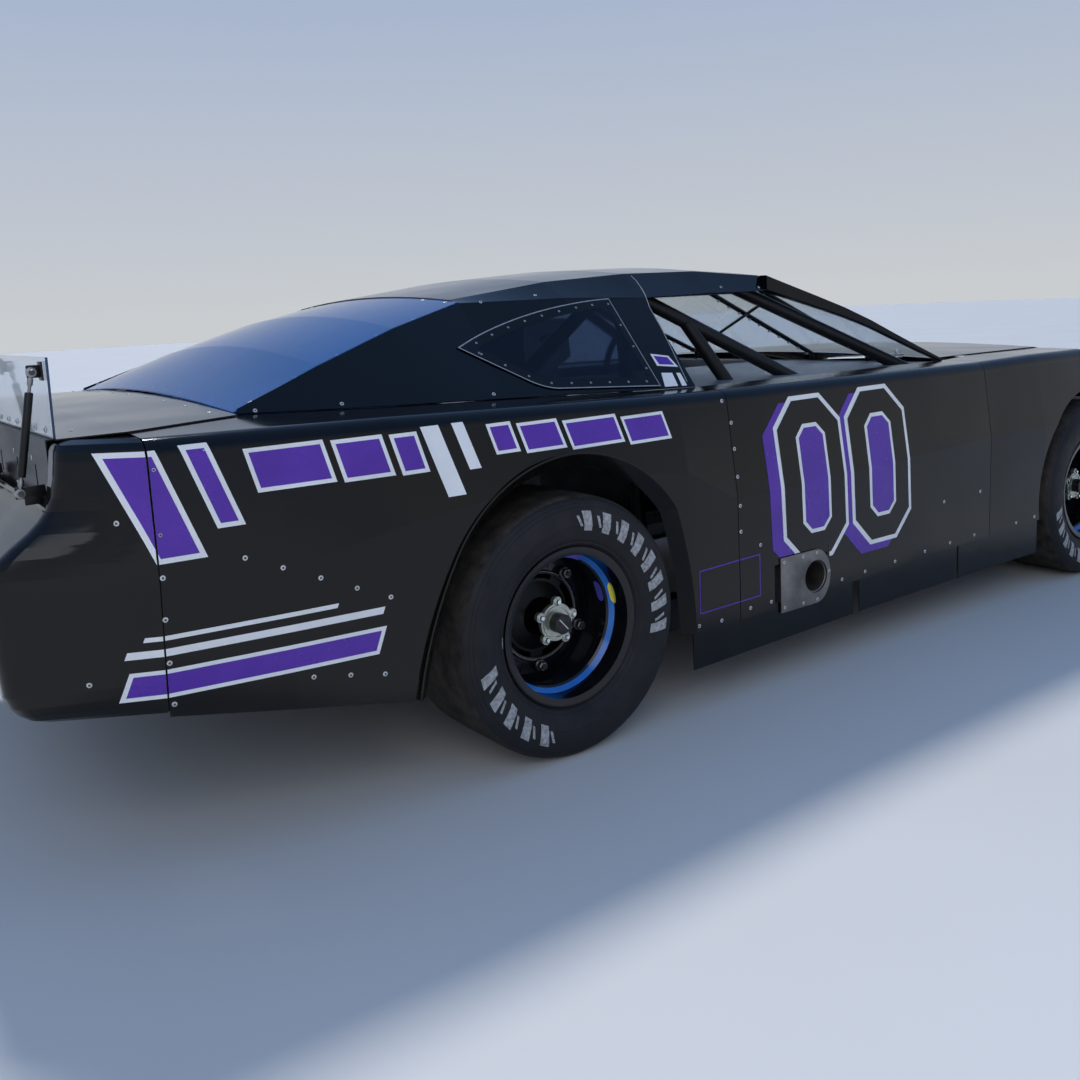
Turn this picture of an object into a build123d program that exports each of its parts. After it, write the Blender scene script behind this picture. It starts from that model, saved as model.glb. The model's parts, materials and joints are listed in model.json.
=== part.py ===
import os
from collections import namedtuple
from math import cos, radians, sin, sqrt, tan

from build123d import *

os.makedirs("parts", exist_ok=True)

# Late model stock car, full size, standing on its four wheels.
# +X forward, +Y left, +Z up, floor at Z = 0. Distances named "dx" run forward from the rear axle.
WHEELBASE = 2591.0
REAR_X = -1220.0
FRONT_X = REAR_X + WHEELBASE
SKIN = 3.0
GAP = 0.3
SEAM = 2.5

# Wheels and tyres
TYRE_R = 343.0
WHEEL_Y = 832.0
RIM_LIP = 133.0
LUG_CIRCLE_R = 134.0
LUG_START = 50.4
STAR_START = 84.8
WHEEL_OPENING_R = 113.5
SPINDLE_R = 32.0
STEER_Y = 690.0

# Body shape
BELT_R = 38.0
REAR_ARCH_TOP = 783.0
FRONT_ARCH_R = 385.0
FRONT_ARCH_Z = 350.0
SEAM_REAR = -1003.0
SEAM_DOOR_REAR = 598.0
SEAM_DOOR_FRONT = 1891.0
SEAM_NOSE = 3060.0
GLASS = 3.0

Side = namedtuple("Side", "dx low_z low_y mid_z mid_y belt_z belt_y ledge_y ledge_z")
SIDES = (
    Side(-1003.0, 362.0, 907.0, 650.0, 944.0, 941.0, 948.0, 820.0, 946.0),
    Side(-740.0, 318.0, 943.0, 636.0, 965.0, 936.0, 955.0, 712.0, 950.0),
    Side(-459.0, 272.0, 978.0, 690.0, 984.0, 930.0, 962.0, 742.0, 938.0),
    Side(0.0, 250.0, 982.0, 740.0, 988.0, 915.0, 957.0, 770.0, 922.0),
    Side(403.0, 237.0, 981.0, 690.0, 984.0, 903.0, 948.0, 800.0, 908.0),
    Side(598.0, 233.0, 978.0, 590.0, 976.0, 898.0, 941.0, 818.0, 903.0),
    Side(1240.0, 250.0, 968.0, 600.0, 966.0, 890.0, 936.0, 800.0, 896.0),
    Side(1891.0, 266.0, 960.0, 620.0, 962.0, 884.0, 931.0, 775.0, 890.0),
    Side(2230.0, 272.0, 966.0, 620.0, 972.0, 888.0, 930.0, 705.0, 892.0),
    Side(2591.0, 270.0, 968.0, 620.0, 974.0, 886.0, 926.0, 705.0, 890.0),
    Side(3060.0, 190.0, 950.0, 520.0, 952.0, 790.0, 880.0, 705.0, 800.0),
    Side(3400.0, 135.0, 880.0, 420.0, 880.0, 690.0, 790.0, 640.0, 706.0),
)


def side_at(dx):
    """Side-panel section at one place, between the table's rows."""
    for near, far in zip(SIDES, SIDES[1:]):
        if near.dx <= dx <= far.dx:
            share = (dx - near.dx) / (far.dx - near.dx)
            mixed = [a + (b - a) * share for a, b in zip(near, far)]
            return Side(*mixed)
    raise ValueError(dx)


def right_plane(dx):
    """Upright plane across the car: local x points out to the right, local y up."""
    return Plane(origin=(REAR_X + dx, 0, 0), x_dir=(0, -1, 0), z_dir=(-1, 0, 0))


def side_section(dx):
    """Thin section of the right side, sill to ledge, as one closed face."""
    row = side_at(dx)
    turn = BELT_R * (1 - cos(radians(45)))
    inner = BELT_R - SKIN
    turn_in = SKIN + inner * (1 - cos(radians(45)))
    with BuildSketch(right_plane(dx)) as outline:
        with BuildLine():
            Line((row.low_y, row.low_z), (row.mid_y, row.mid_z))
            Line((row.mid_y, row.mid_z), (row.belt_y, row.belt_z - BELT_R))
            ThreePointArc(
                (row.belt_y, row.belt_z - BELT_R),
                (row.belt_y - turn, row.belt_z - turn),
                (row.belt_y - BELT_R, row.belt_z),
            )
            Line((row.belt_y - BELT_R, row.belt_z), (row.ledge_y, row.ledge_z))
            Line((row.ledge_y, row.ledge_z), (row.ledge_y, row.ledge_z - SKIN))
            Line((row.ledge_y, row.ledge_z - SKIN), (row.belt_y - BELT_R, row.belt_z - SKIN))
            ThreePointArc(
                (row.belt_y - BELT_R, row.belt_z - SKIN),
                (row.belt_y - turn_in, row.belt_z - turn_in),
                (row.belt_y - SKIN, row.belt_z - BELT_R),
            )
            Line((row.belt_y - SKIN, row.belt_z - BELT_R), (row.mid_y - SKIN, row.mid_z))
            Line((row.mid_y - SKIN, row.mid_z), (row.low_y - SKIN, row.low_z))
            Line((row.low_y - SKIN, row.low_z), (row.low_y, row.low_z))
        make_face()
    return outline.sketch


def side_skin(stops):
    """Right-side panel through the given places."""
    for start, end in zip(stops, stops[1:]):
        loft([side_section(start), side_section(end)], ruled=True)


def side_stops(start, end):
    return [start] + [row.dx for row in SIDES if start < row.dx < end] + [end]


def bar(start, end, radius):
    """Round bar between two points."""
    line = Vector(*end) - Vector(*start)
    with BuildSketch(Plane(origin=Vector(*start), z_dir=line)) as section:
        Circle(radius)
    extrude(section.sketch, amount=line.length)


def tube_runs(points, radius, carriers=(), trim=0.0):
    """Straight tubes through the points, mitred at each bend and cut by what carries them."""
    row = [Vector(*point) for point in points]
    row[0] = row[0] + (row[1] - row[0]).normalized() * trim
    row[-1] = row[-1] + (row[-2] - row[-1]).normalized() * trim
    ways = [(end - start).normalized() for start, end in zip(row, row[1:])]
    runs = []
    for index, way in enumerate(ways):
        first = index == 0
        last = index == len(ways) - 1
        start = row[index] if first else row[index] - way * 2 * radius
        end = row[index + 1] if last else row[index + 1] + way * 2 * radius
        with BuildPart() as run:
            bar(start, end, radius)
            if not first:
                bend = Plane(origin=row[index], z_dir=ways[index - 1] + way)
                split(bisect_by=bend, keep=Keep.TOP)
            if not last:
                bend = Plane(origin=row[index + 1], z_dir=way + ways[index + 1])
                split(bisect_by=bend, keep=Keep.BOTTOM)
            for carrier in carriers:
                add(carrier, mode=Mode.SUBTRACT)
        runs += run.part.solids()
    return runs


def slab(x1, x2, y1, y2, z1, z2, mode=Mode.ADD):
    """Box between two corners."""
    with Locations(((x1 + x2) / 2, (y1 + y2) / 2, (z1 + z2) / 2)):
        Box(abs(x2 - x1), abs(y2 - y1), abs(z2 - z1), mode=mode)


def rear_arch(grow, away):
    """Rear wheel-opening outline in the side view, grown by a few millimetres."""
    x = REAR_X
    with BuildSketch(Plane.XZ.offset(away)) as opening:
        with BuildLine():
            ThreePointArc(
                (x - 466 - grow, 200),
                (x - 420 - grow, 400),
                (x - 335 - grow * 0.8, 585 + grow * 0.5),
            )
            ThreePointArc(
                (x - 335 - grow * 0.8, 585 + grow * 0.5),
                (x - 190 - grow * 0.4, 730 + grow * 0.9),
                (x + 20, REAR_ARCH_TOP + grow),
            )
            ThreePointArc(
                (x + 20, REAR_ARCH_TOP + grow),
                (x + 236 + grow * 0.5, 710 + grow * 0.8),
                (x + 345 + grow * 0.9, 600 + grow * 0.4),
            )
            ThreePointArc(
                (x + 345 + grow * 0.9, 600 + grow * 0.4),
                (x + 388 + grow, 430),
                (x + 408 + grow, 200),
            )
            Line((x + 408 + grow, 200), (x - 466 - grow, 200))
        make_face()
    return opening.sketch


# Right quarter panel with its rolled wheel-arch lip
LIP_DEEP = 34.0
LIP_IN = 22.0
with BuildPart() as quarter_right:
    side_skin(side_stops(SEAM_REAR + SEAM / 2, SEAM_DOOR_REAR - SEAM / 2))
    extrude(rear_arch(0, 860), amount=200, mode=Mode.SUBTRACT)
    mouth = rear_arch(12, 989)
    throat = rear_arch(-LIP_IN, 989 - LIP_DEEP)
    loft([mouth, throat], ruled=True)
    mouth_in = rear_arch(8, 990)
    throat_in = rear_arch(-LIP_IN - 5, 988 - LIP_DEEP)
    loft([mouth_in, throat_in], ruled=True, mode=Mode.SUBTRACT)
    slab(REAR_X - 600, REAR_X + 597, -1000, -900, 100, 236, mode=Mode.SUBTRACT)
    slab(REAR_X - 600, REAR_X - 300, -1000, -900, 100, 272, mode=Mode.SUBTRACT)

with BuildPart() as quarter_left:
    mirror(quarter_right.part, about=Plane.XZ)

# Right door skin, notched at the foot for the exhaust plate
PLATE_DX = 879.0
PLATE_W = 234.0
PLATE_TOP = 386.0
PLATE_LOW = 172.0
OUTLET_DX = 928.0
OUTLET_Z = 302.0
OUTLET_R = 55.0
with BuildPart() as door_right:
    side_skin(side_stops(SEAM_DOOR_REAR + SEAM / 2, SEAM_DOOR_FRONT - SEAM / 2))
    slab(
        REAR_X + PLATE_DX - PLATE_W / 2 - 16,
        REAR_X + PLATE_DX + PLATE_W / 2 - 8,
        -1000,
        -900,
        200,
        PLATE_TOP - 18,
        mode=Mode.SUBTRACT,
    )

with BuildPart() as door_whole:
    side_skin(side_stops(SEAM_DOOR_REAR + SEAM / 2, SEAM_DOOR_FRONT - SEAM / 2))

with BuildPart() as door_left:
    mirror(door_whole.part, about=Plane.XZ)

with BuildPart() as fender_right:
    side_skin(side_stops(SEAM_DOOR_FRONT + SEAM / 2, SEAM_NOSE - SEAM / 2))
    with BuildSketch(Plane.XZ.offset(860)):
        with Locations((FRONT_X, FRONT_ARCH_Z)):
            Circle(FRONT_ARCH_R)
        with Locations((FRONT_X, FRONT_ARCH_Z - 250)):
            Rectangle(2 * FRONT_ARCH_R * 0.975, 400)
    extrude(amount=200, mode=Mode.SUBTRACT)

with BuildPart() as fender_left:
    mirror(fender_right.part, about=Plane.XZ)

# Tail cover: plan outlines stacked in height, rounded corners, open front and bottom
TAIL_ROUND = 42.0
Level = namedtuple("Level", "z rear_dx corner_y")
TAIL_LEVELS = (
    Level(372.0, -1222.0, 778.0),
    Level(381.0, -1245.0, 783.0),
    Level(395.0, -1262.0, 787.0),
    Level(414.0, -1275.0, 790.0),
    Level(440.0, -1284.0, 793.0),
    Level(520.0, -1290.0, 796.0),
    Level(600.0, -1290.0, 799.0),
    Level(650.0, -1289.0, 801.5),
    Level(680.0, -1286.0, 803.5),
    Level(702.0, -1277.0, 805.5),
    Level(720.0, -1263.0, 807.0),
    Level(742.0, -1237.0, 810.5),
    Level(764.0, -1208.0, 814.0),
    Level(784.0, -1187.0, 816.5),
    Level(806.0, -1170.0, 819.0),
    Level(832.0, -1159.0, 822.0),
    Level(866.0, -1151.0, 825.0),
    Level(903.0, -1146.0, 828.0),
    Level(922.0, -1143.0, 824.0),
    Level(934.0, -1137.0, 812.0),
    Level(941.0, -1120.0, 785.0),
)


def seam_half(z):
    """Half width of the body at the tail seam, at one height."""
    row = SIDES[0]
    if z < row.mid_z:
        share = (z - row.low_z) / (row.mid_z - row.low_z)
        return row.low_y + (row.mid_y - row.low_y) * share
    if z < row.belt_z - BELT_R:
        share = (z - row.mid_z) / (row.belt_z - BELT_R - row.mid_z)
        return row.mid_y + (row.belt_y - row.mid_y) * share
    above = min(z - row.belt_z + BELT_R, BELT_R)
    return row.belt_y - BELT_R + sqrt(BELT_R**2 - above**2)


def tail_outline(level, inset, front_dx, lift):
    """Plan outline of the tail at one height, moved in by the inset."""
    seam_y = seam_half(level.z) - inset
    x1 = REAR_X + front_dx
    x2 = REAR_X + level.rear_dx + inset
    y2 = level.corner_y - inset
    with BuildSketch(Plane.XY.offset(level.z + lift)) as outline:
        with BuildLine():
            Polyline((x1, -seam_y), (x2, -y2), (x2, y2), (x1, seam_y), close=True)
        make_face()
        corners = outline.vertices().group_by(Axis.X)[0]
        fillet(corners, TAIL_ROUND - inset)
    return outline.sketch


with BuildPart() as tail_cover:
    for low, high in zip(TAIL_LEVELS, TAIL_LEVELS[1:]):
        below = tail_outline(low, 0, SEAM_REAR - SEAM / 2, 0)
        above = tail_outline(high, 0, SEAM_REAR - SEAM / 2, 0)
        loft([below, above], ruled=True)
    for low, high in zip(TAIL_LEVELS, TAIL_LEVELS[1:-1]):
        below = tail_outline(low, SKIN + 1, SEAM_REAR + 20, -0.5 if low.z < 380 else 0)
        above = tail_outline(high, SKIN + 1, SEAM_REAR + 20, 0)
        loft([below, above], ruled=True, mode=Mode.SUBTRACT)
    slab(REAR_X - 1105, REAR_X - 900, -790, 790, 900, 990, mode=Mode.SUBTRACT)
    slab(REAR_X - 1200, REAR_X - 1100, -770, 770, 815, 990, mode=Mode.SUBTRACT)

# Skirts: three strips a side below the doors
SKIRT_T = 3.0
Strip = namedtuple("Strip", "start end low_start low_end top_start top_end")
SKIRT_STRIPS = (
    Strip(410.0, 1118.0, 130.0, 140.0, 235.0, 246.0),
    Strip(1150.0, 1694.0, 141.0, 144.0, 247.0, 260.0),
    Strip(1704.0, 2204.0, 143.0, 147.0, 260.5, 270.0),
)
SKIRT_LAP = 12.0


def skirt_section(strip, dx):
    share = (dx - strip.start) / (strip.end - strip.start)
    low = strip.low_start + (strip.low_end - strip.low_start) * share
    top = strip.top_start + (strip.top_end - strip.top_start) * share + SKIRT_LAP
    mid = side_at(dx).low_y - SKIN - SKIRT_T / 2 - 0.6
    with BuildSketch(right_plane(dx)) as outline:
        with Locations((mid, (low + top) / 2)):
            Rectangle(SKIRT_T, top - low)
    return outline.sketch


with BuildPart() as skirts:
    for strip in SKIRT_STRIPS:
        places = side_stops(strip.start, strip.end)
        for start, end in zip(places, places[1:]):
            loft([skirt_section(strip, start), skirt_section(strip, end)], ruled=True)
    slab(REAR_X + 866, REAR_X + 990, -1000, -900, 236, 300, mode=Mode.SUBTRACT)
    mirror(about=Plane.XZ)

# Exhaust outlet plate in the right door's foot
with BuildPart() as exhaust_plate:
    row = side_at(PLATE_DX)
    with BuildSketch(Plane.XZ.offset(row.low_y + 1.0)):
        with Locations((REAR_X + PLATE_DX, (PLATE_TOP + PLATE_LOW) / 2)):
            Rectangle(PLATE_W, PLATE_TOP - PLATE_LOW)
        with Locations((REAR_X + OUTLET_DX, OUTLET_Z)):
            Circle(OUTLET_R, mode=Mode.SUBTRACT)
    extrude(amount=2.0)

# Nose: upright sections from the fender seam to the front, open below and behind
Shape = namedtuple("Shape", "dx low_z low_y mid_z mid_y belt_z belt_y crown_z")
NOSE_SHAPES = (
    Shape(3062.0, 190.0, 950.0, 520.0, 952.0, 790.0, 880.0, 818.0),
    Shape(3300.0, 150.0, 930.0, 480.0, 928.0, 725.0, 850.0, 752.0),
    Shape(3500.0, 128.0, 872.0, 440.0, 868.0, 650.0, 790.0, 672.0),
    Shape(3630.0, 116.0, 790.0, 410.0, 785.0, 582.0, 705.0, 598.0),
    Shape(3705.0, 110.0, 690.0, 380.0, 684.0, 522.0, 610.0, 534.0),
    Shape(3730.0, 110.0, 610.0, 360.0, 604.0, 470.0, 545.0, 480.0),
)
NOSE_SKIN = 4.0


def nose_section(shape, inset, move):
    """Full closed section of the nose, moved in by the inset."""
    with BuildSketch(right_plane(shape.dx + move)) as outline:
        with BuildLine():
            Polyline(
                (-shape.low_y + inset, shape.low_z - inset),
                (-shape.mid_y + inset, shape.mid_z),
                (-shape.belt_y + inset, shape.belt_z - inset),
                (0, shape.crown_z - inset),
                (shape.belt_y - inset, shape.belt_z - inset),
                (shape.mid_y - inset, shape.mid_z),
                (shape.low_y - inset, shape.low_z - inset),
                close=True,
            )
        make_face()
        shoulders = outline.vertices().filter_by(
            lambda v: abs(v.Z - shape.belt_z + inset) < 0.01
        )
        fillet(shoulders, BELT_R - inset)
    return outline.sketch


with BuildPart() as nose:
    for near, far in zip(NOSE_SHAPES, NOSE_SHAPES[1:]):
        loft([nose_section(near, 0, 0), nose_section(far, 0, 0)], ruled=True)
    for near, far in zip(NOSE_SHAPES, NOSE_SHAPES[1:]):
        start = -10 if near is NOSE_SHAPES[0] else -NOSE_SKIN
        loft(
            [
                nose_section(near, NOSE_SKIN, start),
                nose_section(far, NOSE_SKIN, -NOSE_SKIN),
            ],
            ruled=True,
            mode=Mode.SUBTRACT,
        )
    slab(REAR_X + 3700, REAR_X + 3740, -340, 340, 205, 330, mode=Mode.SUBTRACT)

# Crowned sheets: hood, roof, deck lid and the two big windows
Sheet = namedtuple("Sheet", "dx half edge_z crown_z")


def sheet_section(row, thick):
    """Thin arched section across the car."""
    with BuildSketch(right_plane(row.dx)) as outline:
        with BuildLine():
            ThreePointArc(
                (-row.half, row.edge_z), (0, row.crown_z), (row.half, row.edge_z)
            )
            Line((row.half, row.edge_z), (row.half, row.edge_z + thick))
            ThreePointArc(
                (row.half, row.edge_z + thick),
                (0, row.crown_z + thick),
                (-row.half, row.edge_z + thick),
            )
            Line((-row.half, row.edge_z + thick), (-row.half, row.edge_z))
        make_face()
    return outline.sketch


def sheet(rows, thick):
    for near, far in zip(rows, rows[1:]):
        loft([sheet_section(near, thick), sheet_section(far, thick)], ruled=True)


HOOD_ROWS = (
    Sheet(1895.0, 716.0, 892.5, 912.0),
    Sheet(2230.0, 716.0, 892.3, 914.0),
    Sheet(2591.0, 716.0, 890.4, 912.0),
    Sheet(3058.0, 716.0, 800.4, 819.0),
)
with BuildPart() as hood:
    sheet(HOOD_ROWS, SKIN)

DECK_ROWS = (
    Sheet(-1132.0, 785.0, 941.05, 941.6),
    Sheet(-1003.0, 830.0, 945.7, 957.0),
    Sheet(-742.0, 740.0, 949.0, 972.0),
)
with BuildPart() as deck_lid:
    sheet(DECK_ROWS, SKIN)
    add(quarter_right.part, mode=Mode.SUBTRACT)
    add(quarter_left.part, mode=Mode.SUBTRACT)

REAR_GLASS_ROWS = (
    Sheet(-738.0, 707.0, 952.0, 978.0),
    Sheet(-500.0, 655.0, 1040.0, 1085.0),
    Sheet(-260.0, 600.0, 1117.0, 1158.0),
    Sheet(-24.5, 546.0, 1176.0, 1203.0),
)
with BuildPart() as rear_window:
    sheet(REAR_GLASS_ROWS, GLASS)

WINDSHIELD_ROWS = (
    Sheet(1196.4, 518.0, 1214.0, 1250.0),
    Sheet(1440.0, 590.0, 1124.0, 1166.0),
    Sheet(1600.0, 650.0, 1050.0, 1090.0),
    Sheet(1888.0, 750.0, 895.0, 916.0),
)
with BuildPart() as windshield:
    sheet(WINDSHIELD_ROWS, GLASS)

Roof = namedtuple("Roof", "dx crown_z shoulder_y shoulder_z edge_y edge_z")
ROOF_ROWS = (
    Roof(-24.0, 1209.0, 500.0, 1186.0, 548.0, 1176.0),
    Roof(300.0, 1252.0, 506.0, 1226.0, 592.0, 1176.0),
    Roof(600.0, 1272.0, 512.0, 1242.0, 606.0, 1166.0),
    Roof(900.0, 1276.0, 512.0, 1243.0, 580.0, 1172.0),
    Roof(1196.0, 1258.0, 516.0, 1222.0, 560.0, 1170.0),
)


def roof_section(row):
    with BuildSketch(right_plane(row.dx)) as outline:
        with BuildLine():
            Polyline(
                (row.shoulder_y, row.shoulder_z),
                (row.edge_y, row.edge_z),
                (row.edge_y - SKIN, row.edge_z - 1),
                (row.shoulder_y - 1, row.shoulder_z - SKIN),
            )
            ThreePointArc(
                (row.shoulder_y - 1, row.shoulder_z - SKIN),
                (0, row.crown_z - SKIN),
                (1 - row.shoulder_y, row.shoulder_z - SKIN),
            )
            Polyline(
                (1 - row.shoulder_y, row.shoulder_z - SKIN),
                (SKIN - row.edge_y, row.edge_z - 1),
                (-row.edge_y, row.edge_z),
                (-row.shoulder_y, row.shoulder_z),
            )
            ThreePointArc(
                (-row.shoulder_y, row.shoulder_z),
                (0, row.crown_z),
                (row.shoulder_y, row.shoulder_z),
            )
        make_face()
    return outline.sketch


# Windshield posts: top point, bottom point and width at each stop
Post = namedtuple("Post", "dx y z wide high")
POST_ROWS = (
    Post(1192.0, 540.0, 1196.0, 38.0, 50.0),
    Post(1300.0, 567.0, 1158.0, 30.0, 45.0),
    Post(1400.0, 594.0, 1122.0, 26.0, 40.0),
    Post(1500.0, 629.0, 1082.0, 25.0, 34.0),
    Post(1600.0, 664.0, 1036.0, 22.0, 28.0),
    Post(1700.0, 698.0, 983.0, 20.0, 23.0),
    Post(1800.0, 732.0, 931.0, 18.0, 19.0),
    Post(1878.0, 764.0, 890.0, 14.0, 15.0),
)


def post_section(row, sign):
    with BuildSketch(right_plane(row.dx)) as outline:
        with Locations((row.y * sign, row.z)):
            RectangleRounded(row.wide, row.high, 5)
    return outline.sketch


with BuildPart() as roof:
    for near, far in zip(ROOF_ROWS, ROOF_ROWS[1:]):
        loft([roof_section(near), roof_section(far)], ruled=True)
    for sign in (1, -1):
        for near, far in zip(POST_ROWS, POST_ROWS[1:]):
            loft([post_section(near, sign), post_section(far, sign)], ruled=True)

# Sail panels between quarter, rear window and roof, with the side window cut
Sail = namedtuple("Sail", "dx top_y top_z")
SAIL_ROWS = (
    Sail(-730.0, 711.0, 962.0),
    Sail(-500.0, 659.0, 1041.0),
    Sail(-260.0, 604.0, 1118.0),
    Sail(-24.0, 551.0, 1176.0),
    Sail(300.0, 596.0, 1175.0),
    Sail(594.0, 610.0, 1164.0),
)


def sail_section(row, start, end):
    """Thin leaning section, between two distances in from the outer face."""
    foot = side_at(row.dx)
    low_y = foot.ledge_y + 4
    low_z = foot.ledge_z + 2.3
    with BuildSketch(right_plane(row.dx)) as outline:
        with BuildLine():
            Polyline(
                (low_y - start * 0.8, low_z - start * 0.6),
                (row.top_y - start * 0.8, row.top_z - start * 0.6),
                (row.top_y - end * 0.8, row.top_z - end * 0.6),
                (low_y - end * 0.8, low_z - end * 0.6),
                close=True,
            )
        make_face()
    return outline.sketch


WINDOW_BORDER = 22.0


def window_outline(shrink):
    """Edge of the side pane, moved in by the border for the hole that it covers."""
    x = REAR_X
    with BuildSketch(Plane.XZ.offset(500)) as outline:
        with BuildLine():
            ThreePointArc((x - 104, 1060), (x + 150, 1134), (x + 457, 1169))
            Polyline((x + 457, 1169), (x + 470, 915), (x + 150, 934))
            ThreePointArc((x + 150, 934), (x + 96, 943), (x + 50, 965))
            Line((x + 50, 965), (x - 104, 1060))
        make_face()
        if shrink:
            offset(amount=-shrink, kind=Kind.INTERSECTION)
    return outline.sketch


with BuildPart() as sail_right:
    for near, far in zip(SAIL_ROWS, SAIL_ROWS[1:]):
        loft([sail_section(near, 0, SKIN), sail_section(far, 0, SKIN)], ruled=True)
    extrude(window_outline(WINDOW_BORDER), amount=400, mode=Mode.SUBTRACT)

with BuildPart() as sail_left:
    mirror(sail_right.part, about=Plane.XZ)

with BuildPart() as quarter_windows:
    for near, far in zip(SAIL_ROWS[2:], SAIL_ROWS[3:]):
        loft(
            [
                sail_section(near, -GAP - GLASS, -GAP),
                sail_section(far, -GAP - GLASS, -GAP),
            ],
            ruled=True,
        )
    extrude(window_outline(0), amount=400, mode=Mode.INTERSECT)
    mirror(about=Plane.XZ)

# Spoiler blade, its bracket panel and the struts behind it
SPOILER_HALF = 765.0
SPOILER_T = 5.0
SPOILER_LEAN = tan(radians(7.0))
SPOILER_LOW = 897.0
SPOILER_TOP = 1106.0
BLADE_X = REAR_X - 1144.0 - GAP
with BuildPart() as spoiler:
    with BuildSketch(Plane.XZ.offset(-SPOILER_HALF)):
        with BuildLine():
            Polyline(
                (BLADE_X, SPOILER_LOW),
                (BLADE_X - (SPOILER_TOP - SPOILER_LOW) * SPOILER_LEAN, SPOILER_TOP),
                (
                    BLADE_X - SPOILER_T - (SPOILER_TOP - SPOILER_LOW) * SPOILER_LEAN,
                    SPOILER_TOP,
                ),
                (BLADE_X - SPOILER_T, SPOILER_LOW),
                close=True,
            )
        make_face()
    extrude(amount=2 * SPOILER_HALF)

with BuildPart() as spoiler_mount:
    slab(REAR_X - 1144, REAR_X - 1141, -750, 750, 800, 941)
    slab(REAR_X - 1144, REAR_X - 1104, -750, 750, 938, 941)
    for y in (-620, -420, -220, 220, 420, 620):
        slab(REAR_X - 1150, REAR_X - 1130, y - 6, y + 6, 830, 880, mode=Mode.SUBTRACT)

with BuildPart() as spoiler_struts:
    for y in (-738, -250, 250, 738):
        bar((REAR_X - 1160, y, 845), (REAR_X - 1194, y, 1085), 4.0)
        bar((REAR_X - 1165, y, 885), (REAR_X - 1183, y, 1010), 9.0)
        slab(REAR_X - 1168, REAR_X - 1140, y - 8, y + 8, 836, 854)
        slab(REAR_X - 1200, REAR_X - 1140, y - 8, y + 8, 1072, 1092)
    add(spoiler.part, mode=Mode.SUBTRACT)
    slab(REAR_X - 1144, REAR_X - 1130, -800, 800, 800, 1000, mode=Mode.SUBTRACT)
    slab(REAR_X - 1166, REAR_X - 1130, -800, 800, 1060, 1110, mode=Mode.SUBTRACT)


def place(dx, y, z):
    return (REAR_X + dx, y, z)


# Frame: side rails, kick-ups, rear rails, front clip and their cross members
Box4 = namedtuple("Box4", "dx1 dx2 y1 y2 z1 z2")
FRAME_RAILS = (
    Box4(420.0, 2100.0, 610.0, 670.0, 130.0, 230.0),
    Box4(420.0, 480.0, 440.0, 500.0, 130.0, 490.0),
    Box4(-1060.0, 480.0, 440.0, 500.0, 430.0, 490.0),
    Box4(2040.0, 3300.0, 350.0, 410.0, 230.0, 300.0),
    Box4(3300.0, 3725.8, 350.0, 410.0, 230.0, 300.0),
    Box4(2600.0, 2680.0, 380.0, 430.0, 290.0, 620.0),
    Box4(2600.0, 2680.0, 380.0, 490.0, 606.0, 620.0),
    Box4(-900.0, -860.0, 440.0, 480.0, 268.0, 440.0),
    Box4(-560.0, -520.0, 440.0, 480.0, 268.0, 440.0),
)
FRAME_CROSS = (
    Box4(420.0, 480.0, -670.0, 670.0, 130.0, 190.0),
    Box4(2040.0, 2100.0, -670.0, 670.0, 130.0, 232.0),
    Box4(-1060.0, -1000.0, -500.0, 500.0, 430.0, 490.0),
    Box4(-330.0, -280.0, -500.0, 500.0, 430.0, 490.0),
    Box4(-900.0, -860.0, -480.0, 480.0, 268.0, 298.0),
    Box4(-560.0, -520.0, -480.0, 480.0, 268.0, 298.0),
    Box4(2550.0, 2630.0, -352.0, 352.0, 200.0, 270.0),
    Box4(3240.0, 3300.0, -352.0, 352.0, 230.0, 300.0),
    Box4(3630.0, 3680.0, -352.0, 352.0, 240.0, 290.0),
)
rails = []
for box in FRAME_RAILS + FRAME_CROSS:
    for sign in (1, -1) if box.y1 > 0 else (1,):
        with BuildPart() as rail:
            slab(
                REAR_X + box.dx1,
                REAR_X + box.dx2,
                box.y1 * sign,
                box.y2 * sign,
                box.z1,
                box.z2,
            )
            for other in rails:
                add(other, mode=Mode.SUBTRACT)
        rails += rail.part.solids()
frame_rails = Compound(rails)

# Roll cage: main hoop, then each tube cut where it lands on the tubes before it
CAGE_R = 22.0
CAGE_TRIM = 6.0
HOOP = (
    (540, 640, 222),
    (540, 565, 1110),
    (540, 500, 1186),
    (540, -500, 1186),
    (540, -565, 1110),
    (540, -640, 222),
)
HALO = ((540, 500, 1186), (1120, 470, 1186), (1820, 690, 850), (2060, 640, 222))
REAR_BRACE = ((540, 470, 1186), (-425, 470, 461))
BAY_UPPER = ((1820, 600, 850), (2640, 405, 604))
BAY_LOWER = ((2640, 405, 540), (3275, 380, 285))
CROSS_BARS = (
    ((1120, -470, 1186), (1120, 470, 1186)),
    ((1820, -690, 850), (1820, 690, 850)),
    ((540, -600, 700), (540, 600, 700)),
    ((-60, -470, 735), (-60, 470, 735)),
)
RIGHT_BARS = (
    ((540, -587, 850), (1812, -688, 850)),
    ((540, -615, 520), (1946, -664, 520)),
    ((630, -495, 1186), (1275, -645, 850)),
    ((826, -541, 1084), (960, -620, 850)),
)
LEFT_BAR_HEIGHTS = (330, 480, 630, 780)
STRAP_R = 9.0
STRAP_INNER = ((1120, -190, 1186), (1196, -190, 1216), (1858, -190, 912), (1862, -190, 886))
STRAP_OUTER = ((1120, -465, 1186), (1196, -465, 1202), (1850, -465, 917), (1854, -465, 886))
WINDOW_ROD_R = 6.0
WINDOW_ROD = ((1320, -465, 1148), (1838, 465, 922))


def mirrored(points):
    return [(dx, -y, z) for dx, y, z in points]


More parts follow.
